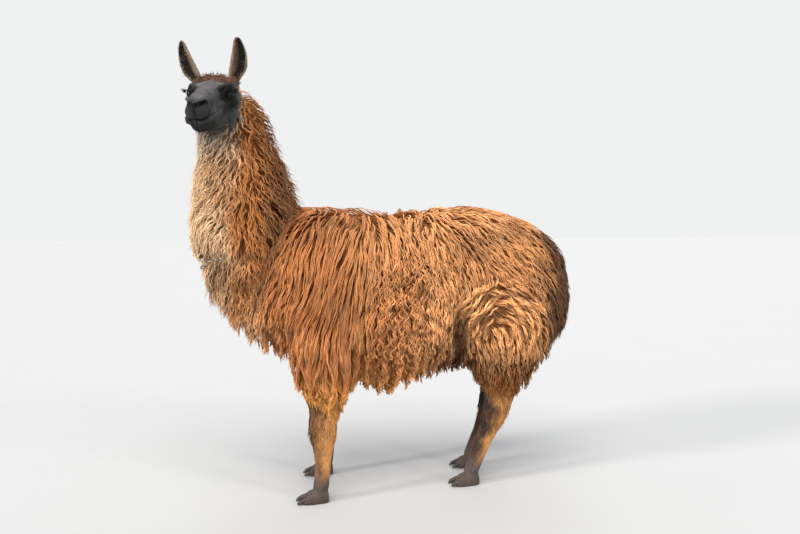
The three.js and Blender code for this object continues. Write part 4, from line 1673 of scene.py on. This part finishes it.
def yarn_material():
    """Twisted yarn of the collar."""
    g = Graph("collar_yarn")
    mark, strand = g.attribute("mark", "Color"), g.attribute("strand", "Vector")
    fibres = g.noise(g.stretch(strand, (700, 160, 5)), 1.0, 3.0)
    wave = {"Vector": g.stretch(strand, (180, 110, 0)), "Scale": 1.0, "Distortion": 1.2}
    twist = g.add("TexWave", wave, bands_direction="DIAGONAL").outputs["Fac"]
    light = g.times(g.remap(fibres, 0.3, 0.7, 0.7, 1.25), g.remap(twist, 0, 1, 0.72, 1.12))
    return g.finish(g.lit(mark, light), 0.85, 0.5, g.maths("ADD", fibres, twist), 0.5, 0.0006)


def floor_material():
    """Plain pale grey, a little uneven."""
    g = Graph("floor")
    place = g.place()
    cloud, grit = g.noise(place, 1.4, 3.0), g.noise(place, 160.0, 2.0)
    uneven = g.times(g.maths("ADD", cloud, grit), 0.5)
    shade = g.tint((0.468, 0.468, 0.464, 1), (0.51, 0.51, 0.505, 1), uneven)
    return g.finish(shade, 0.8, 0.5, grit, 0.05, 0.0005)


# ------------------------------------------------------------------ the skin's own object


def combed(points):
    """Points squeezed along the lie of the hair, so that a texture on them runs in streaks."""
    q = to_head(points)
    comb = points * [1, 1, 0.14]
    above = beyond(points, NECK_CUT) > 0
    comb[above] = (q[above] * [0.14, 1, 0.8]) * MM
    for which in EARS:
        e, share = ear_share(q, which)
        mine = (share > 0.04) & (share < 1.05) & near_ear(e)
        comb[mine] = e[mine] * [1, 1, 0.14] * MM
    return comb


def dress_skin(mesh):
    """Makes the skin's object, with its colours and its unwrap."""
    obj = finish_object("skin", mesh, skin_material())
    points, normals = vertices_of(mesh)
    _, face, _, _, shank = regions(points)
    set_mark(mesh, markings(points, normals))
    set_values(mesh, "comb", combed(points))
    set_values(mesh, "bare", np.maximum(face, shank))
    skin = Skin(mesh)
    set_uv(mesh, skin.uv.reshape(-1, 2))
    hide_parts(*FLESH)
    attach(obj, "root")
    return skin


# ------------------------------------------------------------------ eyes and lashes


def eye_axes(side):
    """Columns ahead, level and up of an eye, in the row frame. side is 1 on the left."""
    look = unit(np.array([LOOK[0], LOOK[1] * side, LOOK[2]]))
    level = unit(np.cross(look, [0, 0, 1]))
    return HEAD_M @ np.stack([look, level, np.cross(level, look)], 1)


def make_eye(name, place, side, material):
    """A ball with a swell in front, whose front pole looks the way the eye does."""
    rings, round_steps = ((36, 48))
    swell = 1.4 * MM
    theta = np.linspace(0, math.pi, rings + 1)[1:-1]
    phi = 2 * math.pi * np.arange(round_steps) / round_steps
    bulge = EYE_RADIUS + swell * hump(theta, 0, 0.45)
    off = (np.sin(theta) * bulge)[:, None]
    body = np.stack([(np.cos(theta) * bulge)[:, None] + 0 * phi, off * np.cos(phi), off * np.sin(phi)], -1)
    body = body.reshape(-1, 3)
    local = np.concatenate([body, [[EYE_RADIUS + swell, 0, 0], [-EYE_RADIUS, 0, 0]]])
    i, k = np.meshgrid(np.arange(rings - 2), np.arange(round_steps), indexing="ij")
    here, beside = i * round_steps + k, i * round_steps + (k + 1) % round_steps
    quads = np.stack([here, beside, beside + round_steps, here + round_steps], -1).reshape(-1, 4)
    k = np.arange(round_steps)
    after, last, front = (k + 1) % round_steps, (rings - 2) * round_steps, len(body)
    tris = np.concatenate([
        np.stack([k * 0 + front, after, k], -1), np.stack([last + k, last + after, k * 0 + front + 1], -1),
    ])
    if np.linalg.det(eye_axes(side)) > 0:
        quads, tris = quads[:, ::-1], tris[:, ::-1]
    obj = make_object(f"{name}_ball", place + local @ eye_axes(side).T, tris, quads, material)
    set_values(obj.data, "look", local / MM)
    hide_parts(name)
    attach(obj, "root")


LASHES = ((76, 1, 23, -0.25, 0.55), (34, -1, 9, 0.1, -0.45))  # count, lid, millimetres, droop, rise


def grow_lashes(coat, skin):
    """Lashes along both lids."""
    tree = tree_of(skin.middle)
    colour = paint(20, 17, 17)
    t = np.linspace(0, 1, 6)[None, :, None]
    for place, side in ((EYE_L, 1), (EYE_R, -1)):
        axes = eye_axes(side)
        for count, edge, size, droop, rise in LASHES:
            a = np.sort(rng.uniform(-0.95, 0.95, count))
            level = 21.5 * a
            up = 1.2 + edge * 13.8 * np.sqrt(1 - a * a) - 0.008 * level**2
            ahead = np.sqrt(np.maximum(25.0**2 - level**2 - up**2, 60))
            root = place + np.stack([ahead, level, up], -1) * MM @ axes.T
            way = np.stack([1 + 0 * a, 0.75 * a, rise + droop + rng.normal(0, 0.1, count)], -1) @ axes.T
            length = size * MM * spread(count, 0.8, 1.2) * (1 - 0.3 * a * a)
            each = length[:, None, None]
            curve = axes @ np.array([-0.4, 0, 1.0 * edge])
            path = root[:, None] + unit(way)[:, None] * each * t
            path = path + curve * (0.35 * each) * t**2 - (axes @ [0, 0, 1.0]) * (0.22 * each) * t
            half = 0.6 * MM * taper(t[..., 0], 0.2, 0.9, 0.7) * np.ones((count, 1))
            shape = tubes(path, *across_and_out(path, np.broadcast_to(axes[:, 2], path.shape)), half, half, 3)
            uv = np.array([skin.uv[tree.find(p)[1]].mean(0) for p in root.tolist()])
            dark = np.broadcast_to(colour, (count, 3))
            coat.add(shape, uv, dark, rng.random(count), length, np.full(count, 0.004))


# ------------------------------------------------------------------ nails and collar


def make_nails(material):
    """Each nail, smoothed from its solid, with faint growth rings."""
    pitch = 1.1 * MM
    for name in ALL_NAILS:
        points, triangles = node_faces(name)
        field = Field(*box_round([name], 0.006, 0.006), pitch)
        field.read(level_set(points, triangles, None, pitch, 10 * MM, 10 * MM)).blur(10)
        x, _, z = xyz(field.points())
        field.values += 0.25 * MM * np.sin(x / 0.0042 + z / 0.006) - 0.8 * MM
        field.values = np.maximum(field.values, 0.0006 - z)  # flat where it meets the ground
        obj = make_object(f"{name}_horn", *field.surface(), material)
        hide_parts(name)
        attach(obj, "root")


PLY_COLOURS = paint(150, 132, 108), paint(96, 84, 76), paint(176, 160, 138)


def make_collar(material):
    """A cord of three plies of yarn laid round each other."""
    steps, sides = ((520, 8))
    ply, lay, off_middle = 2.9 * MM, 30 * MM, 2.7 * MM
    turn = 2 * math.pi * np.arange(steps) / steps
    line = collar_line(turn)
    ahead = unit(np.roll(line, -1, 0) - np.roll(line, 1, 0))
    off = np.stack([-np.cos(turn), np.sin(turn), 0 * turn], -1)
    off = unit(off - ahead * dot(off, ahead))
    up = np.cross(ahead, off)
    run = np.concatenate([[0], np.cumsum(np.linalg.norm(np.diff(line, axis=0), axis=1))])
    total = run[-1] + np.linalg.norm(line[0] - line[-1])
    lays = round(total / lay)
    phi = 2 * math.pi * np.arange(sides) / sides
    i, j = np.meshgrid(np.arange(steps), np.arange(sides), indexing="ij")
    here, beside = i * sides + j, i * sides + (j + 1) % sides
    onward = ((i + 1) % steps - i) * sides
    faces = np.stack([here, beside, beside + onward, here + onward], -1).reshape(-1, 4)
    points, quads, marks, strand = [], [], [], []
    for k, colour in enumerate(PLY_COLOURS):
        angle = (2 * math.pi * (lays * run / total + k / 3))[:, None]
        middle = line + off_middle * (off * np.cos(angle) + up * np.sin(angle))
        ring = off[:, None] * np.cos(phi)[:, None] + up[:, None] * np.sin(phi)[:, None]
        points.append((middle[:, None] + ply * ring).reshape(-1, 3))
        quads.append(faces + k * steps * sides)
        marks.append(np.broadcast_to(colour, (steps * sides, 3)))
        around = np.tile(np.arange(sides) * 0.002, steps)
        strand.append(np.stack([around, np.repeat(run, sides), np.full(steps * sides, k)], -1))
    points, quads = np.concatenate(points), np.concatenate(quads)
    obj = make_object("collar_cord", points, NO_TRIANGLES, quads, material)
    set_mark(obj.data, np.concatenate(marks))
    set_values(obj.data, "strand", np.concatenate(strand))
    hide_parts("collar")
    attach(obj, "root")


# ------------------------------------------------------------------ the llama

skin = dress_skin(build_skin())
fleece, shank_hair = Coat("fleece", "fleece"), Coat("shank_hair", "shank")
close_hair, lashes = Coat("close_hair", "face"), Coat("lashes", "face")
STRANDS = 2  # beside each lock
grow_fleece(fleece, skin, (13.2) * MM, STRANDS, on_neck=False)
grow_fleece(fleece, skin, (11.8) * MM, STRANDS, on_neck=True)
grow_wisps(fleece, skin, (22) * MM)
grow_short(close_hair, skin, (3.0) * MM)
grow_ears(close_hair, skin, (3.6) * MM)
grow_crown(close_hair, skin, (3.9) * MM)
grow_lashes(lashes, skin)
grow_shanks(shank_hair, skin, (6.5) * MM)
fleece.build(hair_material("fleece", 0.56, 1.08, 0.2))
close_look = hair_material("close_hair", 0.66, 1.1, 0.08)
for coat in (close_hair, lashes, shank_hair):
    coat.build(close_look)
eye_look = eye_material()
make_eye("eye_left", EYE_L, 1, eye_look)
make_eye("eye_right", EYE_R, -1, eye_look)
make_nails(nail_material())
make_collar(yarn_material())

# ------------------------------------------------------------------ floor, light and camera

FLOOR_REACH = 40.0
LENS, SENSOR = 35.0, 36.0  # millimetres
CAMERA_AT = (-0.7312, -3.0713, 1.08)
CAMERA_AHEAD = np.array([0.2487, 0.9686])
CAMERA_DOWN = math.radians(3.46)

corners = np.array([(-1, -1, 0), (1, -1, 0), (1, 1, 0), (-1, 1, 0)]) * FLOOR_REACH
floor = make_object("floor", corners, NO_TRIANGLES, np.array([[0, 1, 2, 3]]), floor_material())


def soft_sun(name, towards, strength, colour, degrees):
    """A sun from the direction `towards`, softer the more degrees it is across."""
    light = bpy.data.lights.new(name, "SUN")
    light.energy, light.color, light.angle = strength, colour, math.radians(degrees)
    obj = bpy.data.objects.new(name, light)
    obj.rotation_euler = Vector(towards).to_track_quat("Z", "Y").to_euler()
    bpy.context.scene.collection.objects.link(obj)


soft_sun("key", (-0.30, -0.75, 1.3), 2.5, (1.0, 0.97, 0.92), 45)
soft_sun("fill", (0.7, -0.8, 0.5), 0.5, (0.97, 0.98, 1.0), 9)
soft_sun("front", (-0.9, -0.25, 0.4), 1.7, (1.0, 0.98, 0.95), 9)
soft_sun("rim", (0.4, 0.9, 0.9), 0.6, (1.0, 0.98, 0.95), 40)

# the background that the camera sees, and the light of the sky on the llama
sky = Graph("studio", bpy.data.worlds.new("studio"))
bpy.context.scene.world = sky.owner
seen = sky.add("Background", {0: (0.872, 0.879, 0.882, 1)}).outputs[0]
light = sky.add("Background", {0: (0.80, 0.84, 0.90, 1), 1: 0.85}).outputs[0]
camera_ray = sky.add("LightPath").outputs["Is Camera Ray"]
sky.add("OutputWorld", {0: sky.add("MixShader", {0: camera_ray, 1: light, 2: seen}).outputs[0]})

camera = bpy.data.objects.new("camera", bpy.data.cameras.new("camera"))
camera.data.lens, camera.data.sensor_width = LENS, SENSOR
camera.location = CAMERA_AT
level = CAMERA_AHEAD * math.cos(CAMERA_DOWN)
camera.rotation_euler = Vector((*level, -math.sin(CAMERA_DOWN))).to_track_quat("-Z", "Y").to_euler()
bpy.context.scene.collection.objects.link(camera)
bpy.context.scene.camera = camera
bpy.context.scene.view_settings.view_transform = "Standard"
